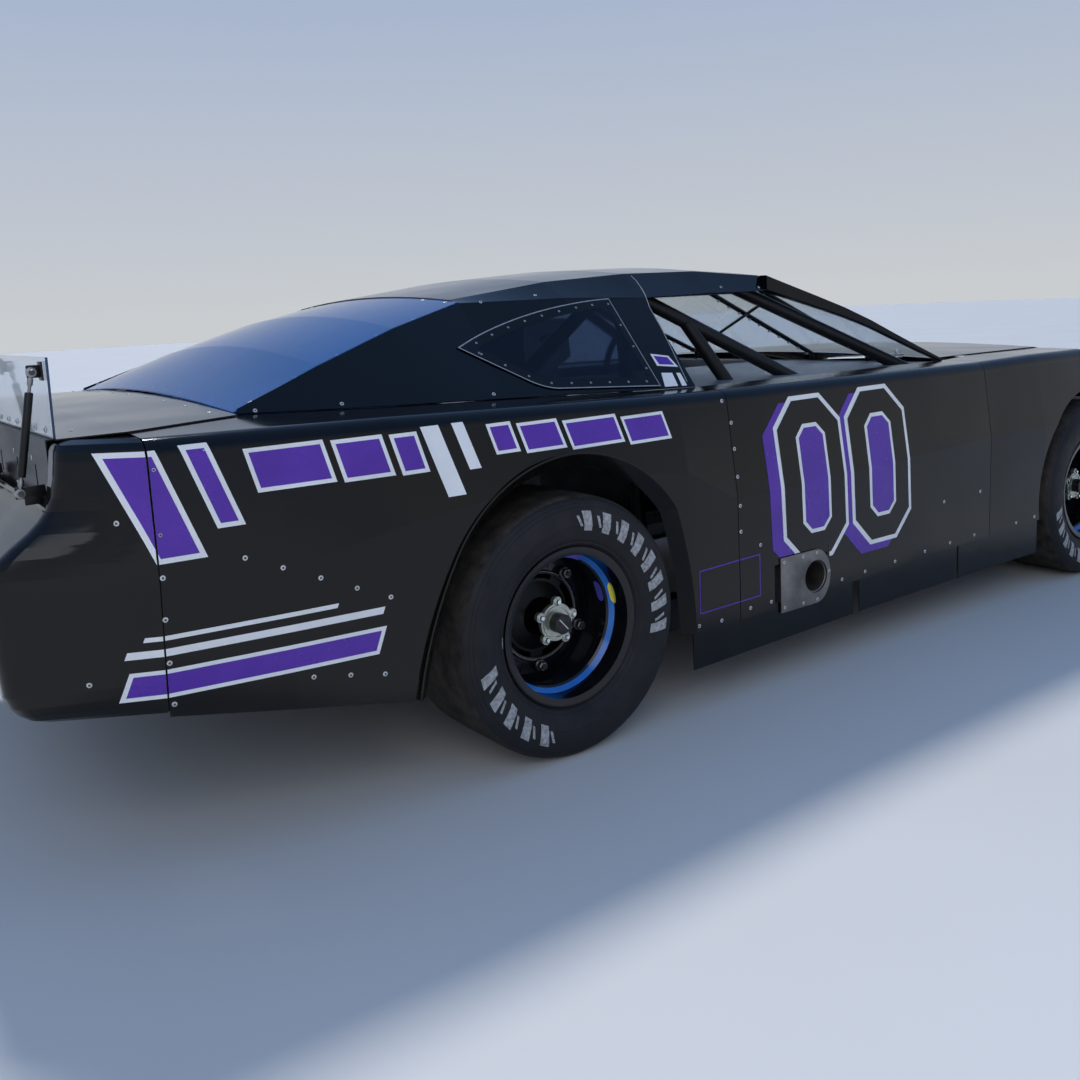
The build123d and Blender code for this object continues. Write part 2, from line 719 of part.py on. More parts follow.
def cage_tube(points, carriers):
    return tube_runs([place(*point) for point in points], CAGE_R, carriers, CAGE_TRIM)


hoop = cage_tube(HOOP, rails)
halo_left = cage_tube(HALO, hoop + rails)
halo_right = cage_tube(mirrored(HALO), hoop + rails)
cage = hoop + halo_left + halo_right
for points in (REAR_BRACE, mirrored(REAR_BRACE)):
    cage += cage_tube(points, hoop + rails)
for points in CROSS_BARS:
    cage += cage_tube(points, cage)
for points in (BAY_UPPER, mirrored(BAY_UPPER), BAY_LOWER, mirrored(BAY_LOWER)):
    cage += cage_tube(points, cage + rails)
for points in RIGHT_BARS:
    cage += cage_tube(points, cage)
for height in LEFT_BAR_HEIGHTS:
    hoop_y = 565 + (1110 - height) * 75 / 888
    leg_dx = 1820 + (850 - height) * 240 / 628
    leg_y = 690 - (850 - height) * 50 / 628
    points = ((540, hoop_y, height), (800, 780, height), (1560, 780, height))
    cage += cage_tube(points + ((leg_dx, leg_y, height),), hoop + halo_left)
straps = []
for points in (STRAP_INNER, mirrored(STRAP_INNER), STRAP_OUTER, mirrored(STRAP_OUTER)):
    straps += tube_runs([place(*point) for point in points], STRAP_R, cage)
straps += tube_runs([place(*point) for point in WINDOW_ROD], WINDOW_ROD_R, straps)
roll_cage = Compound(cage + straps)

# Cabin sheet metal: deck at door height, driver's well, firewall
TIN = 3.0
WELL = Box4(640.0, 1760.0, 40.0, 600.0, 233.0, 0.0)
FLOOR_Z = 230.0


def deck_section(dx):
    row = side_at(dx)
    with BuildSketch(right_plane(dx)) as outline:
        with Locations((0, row.belt_z - SKIN - TIN / 2)):
            Rectangle(2 * (row.belt_y - BELT_R), TIN)
    return outline.sketch


with BuildPart() as cockpit_tin:
    stops = side_stops(-700, 1880)
    for near, far in zip(stops, stops[1:]):
        loft([deck_section(near), deck_section(far)], ruled=True)
    slab(
        REAR_X + WELL.dx1,
        REAR_X + WELL.dx2,
        WELL.y1,
        WELL.y2,
        800,
        990,
        mode=Mode.SUBTRACT,
    )
    with BuildSketch(Plane.XY.offset(FLOOR_Z)) as well:
        with Locations((REAR_X + (WELL.dx1 + WELL.dx2) / 2, (WELL.y1 + WELL.y2) / 2)):
            Rectangle(
                WELL.dx2 - WELL.dx1 + 2 * TIN, WELL.y2 - WELL.y1 + 2 * TIN
            )
            Rectangle(
                WELL.dx2 - WELL.dx1, WELL.y2 - WELL.y1, mode=Mode.SUBTRACT
            )
    extrude(amount=886 - FLOOR_Z)
    slab(REAR_X + 482, REAR_X + 2040, 0, 604, FLOOR_Z, FLOOR_Z + TIN)
    slab(REAR_X + 2030, REAR_X + 2033, -640, 640, 234, 800)
    slab(REAR_X + 2020, REAR_X + 2040, -560, -440, 230, 350, mode=Mode.SUBTRACT)
    slab(REAR_X + 1877, REAR_X + 2033, -640, 640, 800, 803)
    slab(REAR_X + 1877, REAR_X + 1880, -760, 760, 800, 884)
    add(roll_cage, mode=Mode.SUBTRACT)

# Seat shell with side wings
SEAT_Y = 320.0
SEAT_HALF = 205.0
with BuildPart() as seat:
    with BuildSketch(Plane.XZ.offset(-SEAT_Y - SEAT_HALF)):
        with BuildLine():
            Polyline(
                place(730, 0, FLOOR_Z + TIN)[::2],
                place(1140, 0, FLOOR_Z + TIN)[::2],
                place(1160, 0, 420)[::2],
                place(955, 0, 450)[::2],
                place(895, 0, 560)[::2],
                place(905, 0, 760)[::2],
                place(830, 0, 830)[::2],
                place(800, 0, 930)[::2],
                place(862, 0, 965)[::2],
                place(850, 0, 1105)[::2],
                place(655, 0, 1115)[::2],
                place(648, 0, 1000)[::2],
                close=True,
            )
        make_face()
    extrude(amount=2 * SEAT_HALF)
    with BuildSketch(Plane.XZ.offset(-SEAT_Y - SEAT_HALF + 14)):
        with BuildLine():
            Polyline(
                place(748, 0, 262)[::2],
                place(1200, 0, 290)[::2],
                place(1200, 0, 1200)[::2],
                place(672, 0, 1200)[::2],
                place(664, 0, 1000)[::2],
                close=True,
            )
        make_face()
    extrude(amount=2 * SEAT_HALF - 28, mode=Mode.SUBTRACT)

# Steering wheel and its column
STEER_TILT = 14.0
WHEEL_AT = Vector(REAR_X + 1345, SEAT_Y, 900)
COLUMN_DIR = Vector(cos(radians(STEER_TILT)), 0, -sin(radians(STEER_TILT)))
with BuildPart() as steering_wheel:
    hub_plane = Plane(origin=WHEEL_AT, z_dir=COLUMN_DIR)
    with Locations(hub_plane.location):
        Torus(172, 13)
    with BuildSketch(hub_plane.offset(-4)):
        Circle(42)
        with PolarLocations(0, 3, start_angle=90):
            Rectangle(168, 26, align=(Align.MIN, Align.CENTER))
    extrude(amount=8)
    with BuildSketch(hub_plane.offset(4)):
        Circle(28)
    extrude(amount=60)

with BuildPart() as steering_column:
    with BuildSketch(hub_plane.offset(64 + GAP)):
        Circle(19)
    extrude(amount=620)
    slab(REAR_X + 2033, REAR_X + 2500, 200, 400, 500, 900, mode=Mode.SUBTRACT)
    add(roll_cage, mode=Mode.SUBTRACT)
    add(cockpit_tin.part, mode=Mode.SUBTRACT)

# Engine as one block, gearbox and drive shaft
with BuildPart() as engine_block:
    slab(REAR_X + 2120, REAR_X + 2740, -240, 240, 270, 640)
    slab(REAR_X + 2200, REAR_X + 2660, -160, 160, 640, 800)

with BuildPart() as driveline:
    slab(REAR_X + 1640, REAR_X + 2028, -110, -2, 260, 440)
    bar(place(1640, -50, 350), place(150, -50, 350), 38)
    slab(REAR_X + 2034, REAR_X + 2119.7, -180, 30, 270, 520)

# Exhaust from the engine to the right door's foot
PIPE_R = 50.0
PIPE_BORE_R = 47.0
PIPE_ROUTE = (
    (2460, -250, 450),
    (2380, -400, 400),
    (2200, -500, 290),
    (1250, -500, 290),
    (1040, -640, 290),
    (OUTLET_DX, -800, OUTLET_Z),
    (OUTLET_DX, -972, OUTLET_Z),
)
pipe_runs = tube_runs([place(*point) for point in PIPE_ROUTE], PIPE_R, [engine_block.part])
with BuildPart() as pipe_tip:
    add(pipe_runs.pop())
    with BuildSketch(Plane.XZ.offset(-PIPE_ROUTE[-1][1])):
        with Locations((REAR_X + PIPE_ROUTE[-1][0], PIPE_ROUTE[-1][2])):
            Circle(PIPE_BORE_R)
    extrude(amount=-150, mode=Mode.SUBTRACT)
with BuildPart() as pipe_hanger:
    slab(REAR_X + 1030, REAR_X + 1070, -665, -615, 230, 260)
    for run in pipe_runs:
        add(run, mode=Mode.SUBTRACT)
exhaust_pipe = Compound(pipe_runs + pipe_tip.part.solids() + pipe_hanger.part.solids())

with BuildPart() as fuel_cell:
    slab(REAR_X - 930, REAR_X - 480, -330, 330, 298, 590)

# Rear axle: tube, gear case, spindles and brackets
with BuildPart() as rear_axle:
    bar(place(0, -702, TYRE_R), place(0, 702, TYRE_R), 38)
    bar(place(0, -702, TYRE_R), place(0, -WHEEL_Y - 52, TYRE_R), SPINDLE_R)
    bar(place(0, 702, TYRE_R), place(0, WHEEL_Y + 52, TYRE_R), SPINDLE_R)
    bar(place(0, -125, TYRE_R), place(0, 25, TYRE_R), 125)
    bar(place(100, -50, 350), place(149.7, -50, 350), 62)
    slab(REAR_X - 165, REAR_X - 60, -118, 18, 252, 432)
    for y in (-390, 390):
        slab(REAR_X - 95, REAR_X - 25, y - 24, y + 24, 300, 345)
    for y in (-560, 560):
        slab(REAR_X + 20, REAR_X + 60, y - 8, y + 8, 290, 345)
        bar(place(50, y, 300), place(425, y, 165), 13)
        caliper = -1 if y < 0 else 1
        slab(
            REAR_X - 165,
            REAR_X - 60,
            caliper * 700,
            caliper * 712,
            318,
            368,
        )
        slab(
            REAR_X - 60,
            REAR_X - 20,
            caliper * 690,
            caliper * 712,
            318,
            368,
        )
        slab(
            REAR_X - 165,
            REAR_X - 115,
            caliper * 700,
            caliper * 789,
            300,
            386,
        )
        slab(
            REAR_X - 153,
            REAR_X - 40,
            caliper * 752,
            caliper * 784,
            290,
            396,
            mode=Mode.SUBTRACT,
        )

    add(frame_rails, mode=Mode.SUBTRACT)

# Coil-over units, a pair behind and a pair in front
with BuildPart() as rear_coilovers:
    for y in (-390, 390):
        bar(place(-60, y, 345), place(-60, y, 716), 9)
        bar(place(-60, y, 400), place(-60, y, 640), 34)
    add(roll_cage, mode=Mode.SUBTRACT)

with BuildPart() as front_arms:
    for sign in (1, -1):
        for dx in (-150, 150):
            bar(
                place(WHEELBASE + dx, 411 * sign, 262),
                place(WHEELBASE, STEER_Y * sign, 199),
                14,
            )
        bar(
            place(WHEELBASE + 49, 427 * sign, 450),
            place(WHEELBASE, STEER_Y * sign, 486),
            12,
        )
        with Locations(place(WHEELBASE, STEER_Y * sign, 199)):
            Cylinder(28, 26)
        with Locations(place(WHEELBASE, STEER_Y * sign, 486)):
            Cylinder(24, 22)
        with Locations((FRONT_X, STEER_Y * sign, 343.5)):
            Cylinder(34, 263, mode=Mode.SUBTRACT)
    add(frame_rails, mode=Mode.SUBTRACT)
    add(roll_cage, mode=Mode.SUBTRACT)

with BuildPart() as front_coilovers:
    for sign in (1, -1):
        low = place(2640, 600 * sign, 236)
        high = place(2640, 468 * sign, 605)
        bar(low, high, 9)
        bar(place(2640, 582 * sign, 287), place(2640, 486 * sign, 555), 32)
    slab(REAR_X + 2590, REAR_X + 2690, -700, 700, 606, 640, mode=Mode.SUBTRACT)
    add(front_arms.part, mode=Mode.SUBTRACT)
    add(frame_rails, mode=Mode.SUBTRACT)

with BuildPart() as radiator:
    slab(REAR_X + 3244, REAR_X + 3296, -330, 330, 300, 690)

# Front knuckle with spindle, steering arm and caliper
with BuildPart() as knuckle_left:
    with Locations((FRONT_X, STEER_Y, (212.5 + 474.5) / 2)):
        Cylinder(24, 474.5 - 212.5)
    bar((FRONT_X, STEER_Y, TYRE_R), (FRONT_X, WHEEL_Y + 52, TYRE_R), SPINDLE_R)
    slab(FRONT_X - 110, FRONT_X, STEER_Y - 40, STEER_Y, 228, 246)
    slab(FRONT_X - 165, FRONT_X, STEER_Y + 8, STEER_Y + 20, 318, 368)
    slab(FRONT_X - 165, FRONT_X - 115, STEER_Y + 8, 789, 300, 386)
    slab(FRONT_X - 153, FRONT_X - 40, 752, 784, 290, 396, mode=Mode.SUBTRACT)

with BuildPart() as knuckle_right:
    mirror(knuckle_left.part, about=Plane.XZ)

# Wheel sections in (distance outboard of the wheel's middle, radius)
TYRE_OUTLINE = (
    (-126, 191),
    (-126, 209),
    (-150, 246),
    (-157, 290),
    (-148, 327),
    (-124, TYRE_R),
    (124, TYRE_R),
    (148, 327),
    (157, 290),
    (150, 246),
    (126, 209),
    (126, 191),
)
RIM_OUTLINE = (
    (-RIM_LIP, 208),
    (-126, 208),
    (-126, 190.7),
    (10, 190.7),
    (25, 173),
    (60, 173),
    (75, 190.7),
    (126, 190.7),
    (126, 208),
    (RIM_LIP, 208),
    (RIM_LIP, 203),
    (129, 187),
    (77, 187),
    (62, 169),
    (23, 169),
    (8, 187),
    (-129, 187),
    (-RIM_LIP, 203),
)
HUB_OUTLINE = (
    (-96, SPINDLE_R + GAP),
    (-96, 50),
    (-74, 50),
    (-74, 150),
    (-60, 150),
    (-60, 62),
    (-38, 88),
    (-24, 100),
    (-24, 92),
    (-10, 52),
    (54, 46),
    (66, 44),
    (66, 0),
    (60, 0),
    (60, SPINDLE_R + GAP),
)


def turned(points, centre):
    """Ring turned about the wheel's own axle line."""
    flip = -1 if centre[1] < 0 else 1
    at = Plane(origin=centre, x_dir=(0, flip, 0), z_dir=(flip, 0, 0))
    with BuildSketch(at) as outline:
        with BuildLine():
            Polyline(*points, close=True)
        make_face()
    return outline.sketch


CORNERS = (
    ("fl", (FRONT_X, WHEEL_Y, TYRE_R)),
    ("fr", (FRONT_X, -WHEEL_Y, TYRE_R)),
    ("rl", (REAR_X, WHEEL_Y, TYRE_R)),
    ("rr", (REAR_X, -WHEEL_Y, TYRE_R)),
)
wheel_parts = {}
for corner, centre in CORNERS:
    side = -1 if centre[1] < 0 else 1
    axle = Axis(centre, (0, 1, 0))
    face_out = Plane(origin=centre, x_dir=(1, 0, 0), z_dir=(0, side, 0))
    with BuildPart() as tyre:
        revolve(turned(TYRE_OUTLINE, centre), axis=axle)
    with BuildPart() as rim:
        revolve(turned(RIM_OUTLINE, centre), axis=axle)
        with BuildSketch(face_out.offset(-24)) as disc:
            Circle(188)
            Circle(WHEEL_OPENING_R, mode=Mode.SUBTRACT)
        extrude(disc.sketch, amount=6)
        with BuildSketch(face_out.offset(-18)) as bosses:
            with PolarLocations(LUG_CIRCLE_R, 5, start_angle=LUG_START):
                Circle(17)
        extrude(bosses.sketch, amount=9)
    with BuildPart() as hub:
        revolve(turned(HUB_OUTLINE, centre), axis=axle)
        with BuildSketch(face_out.offset(-38)) as ears:
            with PolarLocations(LUG_CIRCLE_R - 24, 5, start_angle=LUG_START):
                SlotOverall(90, 40)
        extrude(ears.sketch, amount=14)
        with BuildSketch(face_out.offset(54)) as star:
            Circle(50)
            with PolarLocations(54, 5, start_angle=STAR_START):
                Circle(13)
        extrude(star.sketch, amount=12)
        with BuildSketch(face_out.offset(66)) as cap:
            Circle(26)
        extrude(cap.sketch, amount=30)
    wheel_parts[f"tyre_{corner}"] = tyre.part
    wheel_parts[f"rim_{corner}"] = rim.part
    wheel_parts[f"hub_{corner}"] = hub.part

with BuildPart() as door_skins:
    add(door_right.part)
    add(door_left.part)

with BuildPart() as fender_skins:
    add(fender_right.part)
    add(fender_left.part)

with BuildPart() as sail_panels:
    add(sail_right.part)
    add(sail_left.part)

with BuildPart() as coilovers:
    add(rear_coilovers.part)
    add(front_coilovers.part)

with BuildPart() as quarter_panels:
    add(quarter_right.part)
    add(quarter_left.part)

PIECES = {
    "nose": nose.part,
    "hood": hood.part,
    "fender_skins": fender_skins.part,
    "door_skins": door_skins.part,
    "quarter_panels": quarter_panels.part,
    "tail_cover": tail_cover.part,
    "deck_lid": deck_lid.part,
    "roof": roof.part,
    "sail_panels": sail_panels.part,
    "windshield": windshield.part,
    "rear_window": rear_window.part,
    "quarter_windows": quarter_windows.part,
    "spoiler": spoiler.part,
    "spoiler_mount": spoiler_mount.part,
    "spoiler_struts": spoiler_struts.part,
    "skirts": skirts.part,
    "exhaust_plate": exhaust_plate.part,
    "frame_rails": frame_rails,
    "roll_cage": roll_cage,
    "cockpit_tin": cockpit_tin.part,
    "seat": seat.part,
    "steering_wheel": steering_wheel.part,
    "steering_column": steering_column.part,
    "engine_block": engine_block.part,
    "driveline": driveline.part,
    "exhaust_pipe": exhaust_pipe,
    "fuel_cell": fuel_cell.part,
    "radiator": radiator.part,
    "rear_axle": rear_axle.part,
    "coilovers": coilovers.part,
    "front_arms": front_arms.part,
    "knuckle_left": knuckle_left.part,
    "knuckle_right": knuckle_right.part,
    **wheel_parts,
}
for old in os.listdir("parts"):
    os.remove(f"parts/{old}")
for label, piece in PIECES.items():
    piece.label = label
    export_step(piece, f"parts/{label}.step")
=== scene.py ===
from collections import namedtuple
from math import atan2, ceil, copysign, cos, exp, hypot, pi, radians, sin, tau

import bmesh
import bpy
from mathutils import Matrix, Vector
from mathutils.bvhtree import BVHTree
from mathutils.geometry import delaunay_2d_cdt
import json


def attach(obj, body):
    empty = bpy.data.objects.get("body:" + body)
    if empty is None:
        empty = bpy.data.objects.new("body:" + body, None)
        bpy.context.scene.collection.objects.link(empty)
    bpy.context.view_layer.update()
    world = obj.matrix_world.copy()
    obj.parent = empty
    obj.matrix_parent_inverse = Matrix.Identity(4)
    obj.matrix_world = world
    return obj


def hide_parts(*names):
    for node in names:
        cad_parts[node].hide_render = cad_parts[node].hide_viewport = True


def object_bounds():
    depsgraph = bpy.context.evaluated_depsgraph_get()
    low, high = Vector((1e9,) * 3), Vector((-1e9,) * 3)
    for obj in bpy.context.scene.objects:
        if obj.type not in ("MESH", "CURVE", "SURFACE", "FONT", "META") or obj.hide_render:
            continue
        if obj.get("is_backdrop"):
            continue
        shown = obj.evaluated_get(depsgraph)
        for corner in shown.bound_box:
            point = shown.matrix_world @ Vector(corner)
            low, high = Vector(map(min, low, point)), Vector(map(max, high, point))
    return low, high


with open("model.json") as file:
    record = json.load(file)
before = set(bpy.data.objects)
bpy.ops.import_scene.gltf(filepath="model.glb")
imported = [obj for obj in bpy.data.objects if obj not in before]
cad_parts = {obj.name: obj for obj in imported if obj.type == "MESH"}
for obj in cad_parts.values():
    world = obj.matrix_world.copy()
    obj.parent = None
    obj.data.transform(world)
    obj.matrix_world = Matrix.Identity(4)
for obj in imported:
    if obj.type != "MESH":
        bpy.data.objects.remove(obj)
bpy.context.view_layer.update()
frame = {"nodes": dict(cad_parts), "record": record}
nodes = frame["nodes"]

# Places shared with the solids, in metres
REAR_X = -1.22
FRONT_X = 1.371
TYRE_R = 0.343
WHEEL_Y = 0.832
LUGS = 5
LUG_CIRCLE_R = 0.134
LUG_START = radians(50.4)
STAR_CIRCLE_R = 0.054
STAR_START = radians(84.8)
SEAT_Y = 0.32
CAR_TOP = 1.28
CABIN_MIDDLE = Vector((0.1, 0, 0.6))
AFT = Vector((-1, 0, 0))
TO_LEFT = Vector((0, 1, 0))
TO_RIGHT = Vector((0, -1, 0))
SKYWARD = Vector((0, 0, 1))
DOWN = Vector((0, 0, -1))
SIDES = ((-1, "right"), (1, "left"))


def car(dx, y, z):
    """Place on the car, with dx forward from the rear axle."""
    return Vector((REAR_X + dx, y, z))


# Camera at the photograph's view
PHOTO_PIXELS = 1080.0
FOCAL_PIXELS = 1067.49
RISE_PIXELS = -61.15
SENSOR_MM = 36.0
CAMERA_AT = Vector((-2.80246, -3.06931, 1.16037))
YAW, PITCH, ROLL = radians(35.55), radians(-9.25), radians(-2.89)
forward = Vector((sin(YAW) * cos(PITCH), cos(YAW) * cos(PITCH), sin(PITCH)))
level = Vector((cos(YAW), -sin(YAW), 0.0))
upward = level.cross(forward)
right = level * cos(ROLL) + upward * sin(ROLL)
up = upward * cos(ROLL) - level * sin(ROLL)
camera_data = bpy.data.cameras.new("camera")
camera_data.sensor_width = SENSOR_MM
camera_data.lens = FOCAL_PIXELS / PHOTO_PIXELS * SENSOR_MM
camera_data.shift_y = RISE_PIXELS / PHOTO_PIXELS
camera_data.clip_end = 200.0
camera = bpy.data.objects.new("camera", camera_data)
facing = Matrix((right, up, -forward)).transposed().to_4x4()
camera.matrix_world = Matrix.Translation(CAMERA_AT) @ facing
bpy.context.scene.collection.objects.link(camera)
bpy.context.scene.camera = camera
bpy.context.scene.view_settings.view_transform = "Standard"


# Materials, kept by name
MATERIALS = {}


class Shader:
    """Node material with one principled surface and the nodes that vary it."""

    def __init__(self, name, **settings):
        self.material = MATERIALS[name] = bpy.data.materials.new(name)
        self.material.use_nodes = True
        self.tree = self.material.node_tree
        self.surface = self.tree.nodes["Principled BSDF"]
        for label, value in settings.items():
            self.surface.inputs[label.replace("_", " ")].default_value = value
        self.place = self.add("ShaderNodeTexCoord").outputs["Object"]

    def add(self, kind, **values):
        node = self.tree.nodes.new(kind)
        for label, value in values.items():
            setattr(node, label, value)
        return node

    def join(self, start, end):
        self.tree.links.new(start, end)

    def along(self, axis):
        """One coordinate of the shaded place."""
        axes = self.add("ShaderNodeSeparateXYZ")
        self.join(self.place, axes.inputs["Vector"])
        return axes.outputs[axis]

    def noise(self, scale, detail=4.0, rough=0.55):
        noise = self.add("ShaderNodeTexNoise")
        noise.inputs["Scale"].default_value = scale
        noise.inputs["Detail"].default_value = detail
        noise.inputs["Roughness"].default_value = rough
        self.join(self.place, noise.inputs["Vector"])
        return noise.outputs["Fac"]

    def spread(self, factor, low, high, start=0.0, end=1.0):
        """Range from start to end moved to the range from low to high."""
        node = self.add("ShaderNodeMapRange")
        node.inputs["From Min"].default_value = start
        node.inputs["From Max"].default_value = end
        node.inputs["To Min"].default_value = low
        node.inputs["To Max"].default_value = high
        self.join(factor, node.inputs["Value"])
        return node.outputs["Result"]

    def ramp(self, factor, stops, blend="LINEAR"):
        """Colours along a factor; each stop is (share, colour or grey)."""
        node = self.add("ShaderNodeValToRGB")
        node.color_ramp.interpolation = blend
        elements = node.color_ramp.elements
        while len(elements) < len(stops):
            elements.new(1.0)
        for element, (share, colour) in zip(elements, stops):
            element.position = share
            element.color = (*tone(colour), 1.0)
        self.join(factor, node.inputs["Fac"])
        return node.outputs["Color"]

    def colour(self, factor, stops):
        self.join(self.ramp(factor, stops), self.surface.inputs["Base Color"])

    def roughness(self, factor, low, high):
        self.join(self.spread(factor, low, high), self.surface.inputs["Roughness"])

    def bump(self, factor, height, strength=0.5):
        bump = self.add("ShaderNodeBump")
        bump.inputs["Distance"].default_value = height
        bump.inputs["Strength"].default_value = strength
        self.join(factor, bump.inputs["Height"])
        self.join(bump.outputs["Normal"], self.surface.inputs["Normal"])


def tone(value):
    """Colour as given, or the grey of one number."""
    return value if isinstance(value, tuple) else (value, value, value)


def plain(name, low, high, rough, scale=40.0, bump=0.0002, **settings):
    """Material whose colour drifts between two tones over a fine noise."""
    shader = Shader(name, **settings)
    shader.colour(shader.noise(scale), ((0.3, low), (0.7, high)))
    shader.roughness(shader.noise(scale * 2.3), *rough)
    shader.bump(shader.noise(scale * 5), bump)


def metal(name, low, high, rough, scale=40.0, metallic=1.0):
    plain(name, low, high, rough, scale, Metallic=metallic)


def glass(name, tint, rough, amount):
    """Sheet that lets a share of the light through in one tint."""
    shader = Shader(name, Transmission_Weight=amount, IOR=1.25)
    shader.colour(shader.noise(3.0), ((0.3, tint), (0.7, tuple(c * 1.08 for c in tint))))
    shader.roughness(shader.noise(5.0), *rough)
    shader.bump(shader.noise(2.0), 0.0006, 0.2)


# Tones by height: warm near the foot as painted ground reflection with road dust, near black with a
# blue cast at the top
DUST_AND_REFLECTION_DRIFT = 0.06
DUST_AND_REFLECTION_STOPS = (
    (0.08, (0.016, 0.0135, 0.01)),
    (0.3, (0.008, 0.0068, 0.0052)),
    (0.56, (0.005, 0.0043, 0.0036)),
    (0.68, (0.0018, 0.002, 0.003)),
)


def dust_and_ground_reflection_paint(name):
    """Gloss black, warmer on its lower panels: a painted reflection of the ground together with a thin
    film of road dust.
    """
    shader = Shader(name, Specular_IOR_Level=0.3)
    height = shader.spread(shader.along("Z"), 0.0, 1.0, end=CAR_TOP)
    drift = shader.spread(shader.noise(3.5, detail=6.0), -DUST_AND_REFLECTION_DRIFT, DUST_AND_REFLECTION_DRIFT)
    total = shader.add("ShaderNodeMath", operation="ADD")
    shader.join(height, total.inputs[0])
    shader.join(drift, total.inputs[1])
    shader.colour(total.outputs["Value"], DUST_AND_REFLECTION_STOPS)
    shader.roughness(shader.noise(7.0, detail=8.0, rough=0.7), 0.05, 0.17)
    shader.bump(shader.noise(2.6, detail=1.0), 0.007, 1.0)


HUB_IN_Y, HUB_OUT_Y = 0.8, 0.95
HUB_STOPS = (
    (0.0, 0.02),
    (0.55, (0.55, 0.57, 0.48)),
    (0.66, (0.05, 0.045, 0.04)),
    (1.0, 1.0),
)
MIX_COLOUR_A, MIX_COLOUR_B, MIX_COLOUR_OUT = 6, 7, 2


def hub_metal(name):
    """Metal in tones by its distance outboard: dark hub, pale drive star, dark spindle."""
    shader = Shader(name, Metallic=0.85)
    outboard = shader.add("ShaderNodeMath", operation="ABSOLUTE")
    shader.join(shader.along("Y"), outboard.inputs[0])
    share = shader.spread(outboard.outputs["Value"], 0.0, 1.0, HUB_IN_Y, HUB_OUT_Y)
    mix = shader.add("ShaderNodeMix", data_type="RGBA", blend_type="MULTIPLY")
    mix.inputs["Factor"].default_value = 1.0
    shader.join(shader.ramp(share, HUB_STOPS, "CONSTANT"), mix.inputs[MIX_COLOUR_A])
    flecks = shader.ramp(shader.noise(60.0), ((0.3, 0.7), (0.7, 1.0)))
    shader.join(flecks, mix.inputs[MIX_COLOUR_B])
    shader.join(mix.outputs[MIX_COLOUR_OUT], shader.surface.inputs["Base Color"])
    shader.roughness(shader.noise(90.0), 0.25, 0.42)


DULL = {"Specular_IOR_Level": 0.3}
dust_and_ground_reflection_paint("gloss_black")
plain("frame_black", 0.004, 0.009, (0.28, 0.45), 60.0, **DULL)
plain("skirt_black", 0.003, 0.007, (0.12, 0.26), 12.0, 0.0001, **DULL)
RIM_TONES = ((0.003, 0.003, 0.004), (0.006, 0.006, 0.008))
plain("rim_black", *RIM_TONES, (0.08, 0.18), 14.0, 0.00004, Specular_IOR_Level=0.42)
plain("rubber", (0.008, 0.008, 0.01), (0.017, 0.016, 0.017), (0.5, 0.75), 14.0, **DULL)
WORN_TONES = ((0.014, 0.013, 0.012), (0.058, 0.048, 0.038))
plain("tread_worn", *WORN_TONES, (0.75, 0.95), 22.0, 0.0006, Specular_IOR_Level=0.2)
plain("grip_black", 0.015, 0.03, (0.6, 0.8), 200.0, 0.0004)
plain("spring_finish", (0.25, 0.02, 0.015), (0.32, 0.03, 0.02), (0.3, 0.5))
# Cockpit tin painted darker than its own grey: painted shade of the enclosed cabin
metal("tin_grey_painted_shade", (0.19, 0.2, 0.21), (0.27, 0.28, 0.29), (0.3, 0.5), 12.0, 0.5)
metal("cast_grey", 0.1, 0.17, (0.5, 0.7), 80.0, 0.5)
metal("seat_finish", 0.3, 0.4, (0.3, 0.45), 15.0, 0.9)
metal("plate_metal", (0.13, 0.125, 0.12), (0.27, 0.26, 0.25), (0.3, 0.5), 11.0, 0.9)
metal("aluminium", 0.56, 0.7, (0.28, 0.45), 25.0)
metal("steel", 0.22, 0.34, (0.3, 0.5), 50.0)
metal("exhaust_finish", (0.16, 0.13, 0.11), (0.3, 0.27, 0.24), (0.4, 0.65), 9.0)
glass("clear_glass", (0.62, 0.68, 0.72), (0.02, 0.05), 0.97)
glass("smoked_glass", (0.035, 0.055, 0.1), (0.03, 0.07), 0.9)
# Rear window tinted blue: a painted reflection of the sky
glass("rear_sky_reflection_tint", (0.05, 0.2, 0.52), (0.02, 0.06), 0.66)
hub_metal("hub_parts")

SLOT_FINISHES = dict(
    body_paint="gloss_black", clear_sheet="clear_glass", smoked_sheet="smoked_glass",
    bare_sheet="aluminium", grey_sheet="tin_grey_painted_shade", frame_paint="frame_black",
    skirt_plastic="skirt_black", seat_shell="seat_finish", grip="grip_black",
    cast_block="cast_grey", steel="steel", exhaust_steel="exhaust_finish",
    spring_parts="spring_finish", rim_paint="rim_black", hub_metal="hub_parts",
    tyre_rubber="rubber",
)
OWN_FINISHES = {"rear_window": "rear_sky_reflection_tint", "exhaust_plate": "plate_metal"}
for part in frame["record"]["subparts"]:
    finish = OWN_FINISHES.get(part["node"], SLOT_FINISHES[part["material_slot"]])
    solid = nodes[part["node"]].data
    solid.materials.clear()
    solid.materials.append(MATERIALS[finish])

# Materials of the dressing
plain("vinyl_purple", (0.075, 0.014, 0.31), (0.095, 0.02, 0.37), (0.2, 0.32), 9.0, 0.00004)
plain("vinyl_white", 0.72, 0.82, (0.25, 0.38), 9.0, 0.00004)
plain("seam_black", 0.001, 0.003, (0.6, 0.8), 30.0)
plain("rivet_dark", 0.03, 0.06, (0.3, 0.5), 90.0)
plain("mesh_dark", 0.02, 0.04, (0.4, 0.6), 70.0)
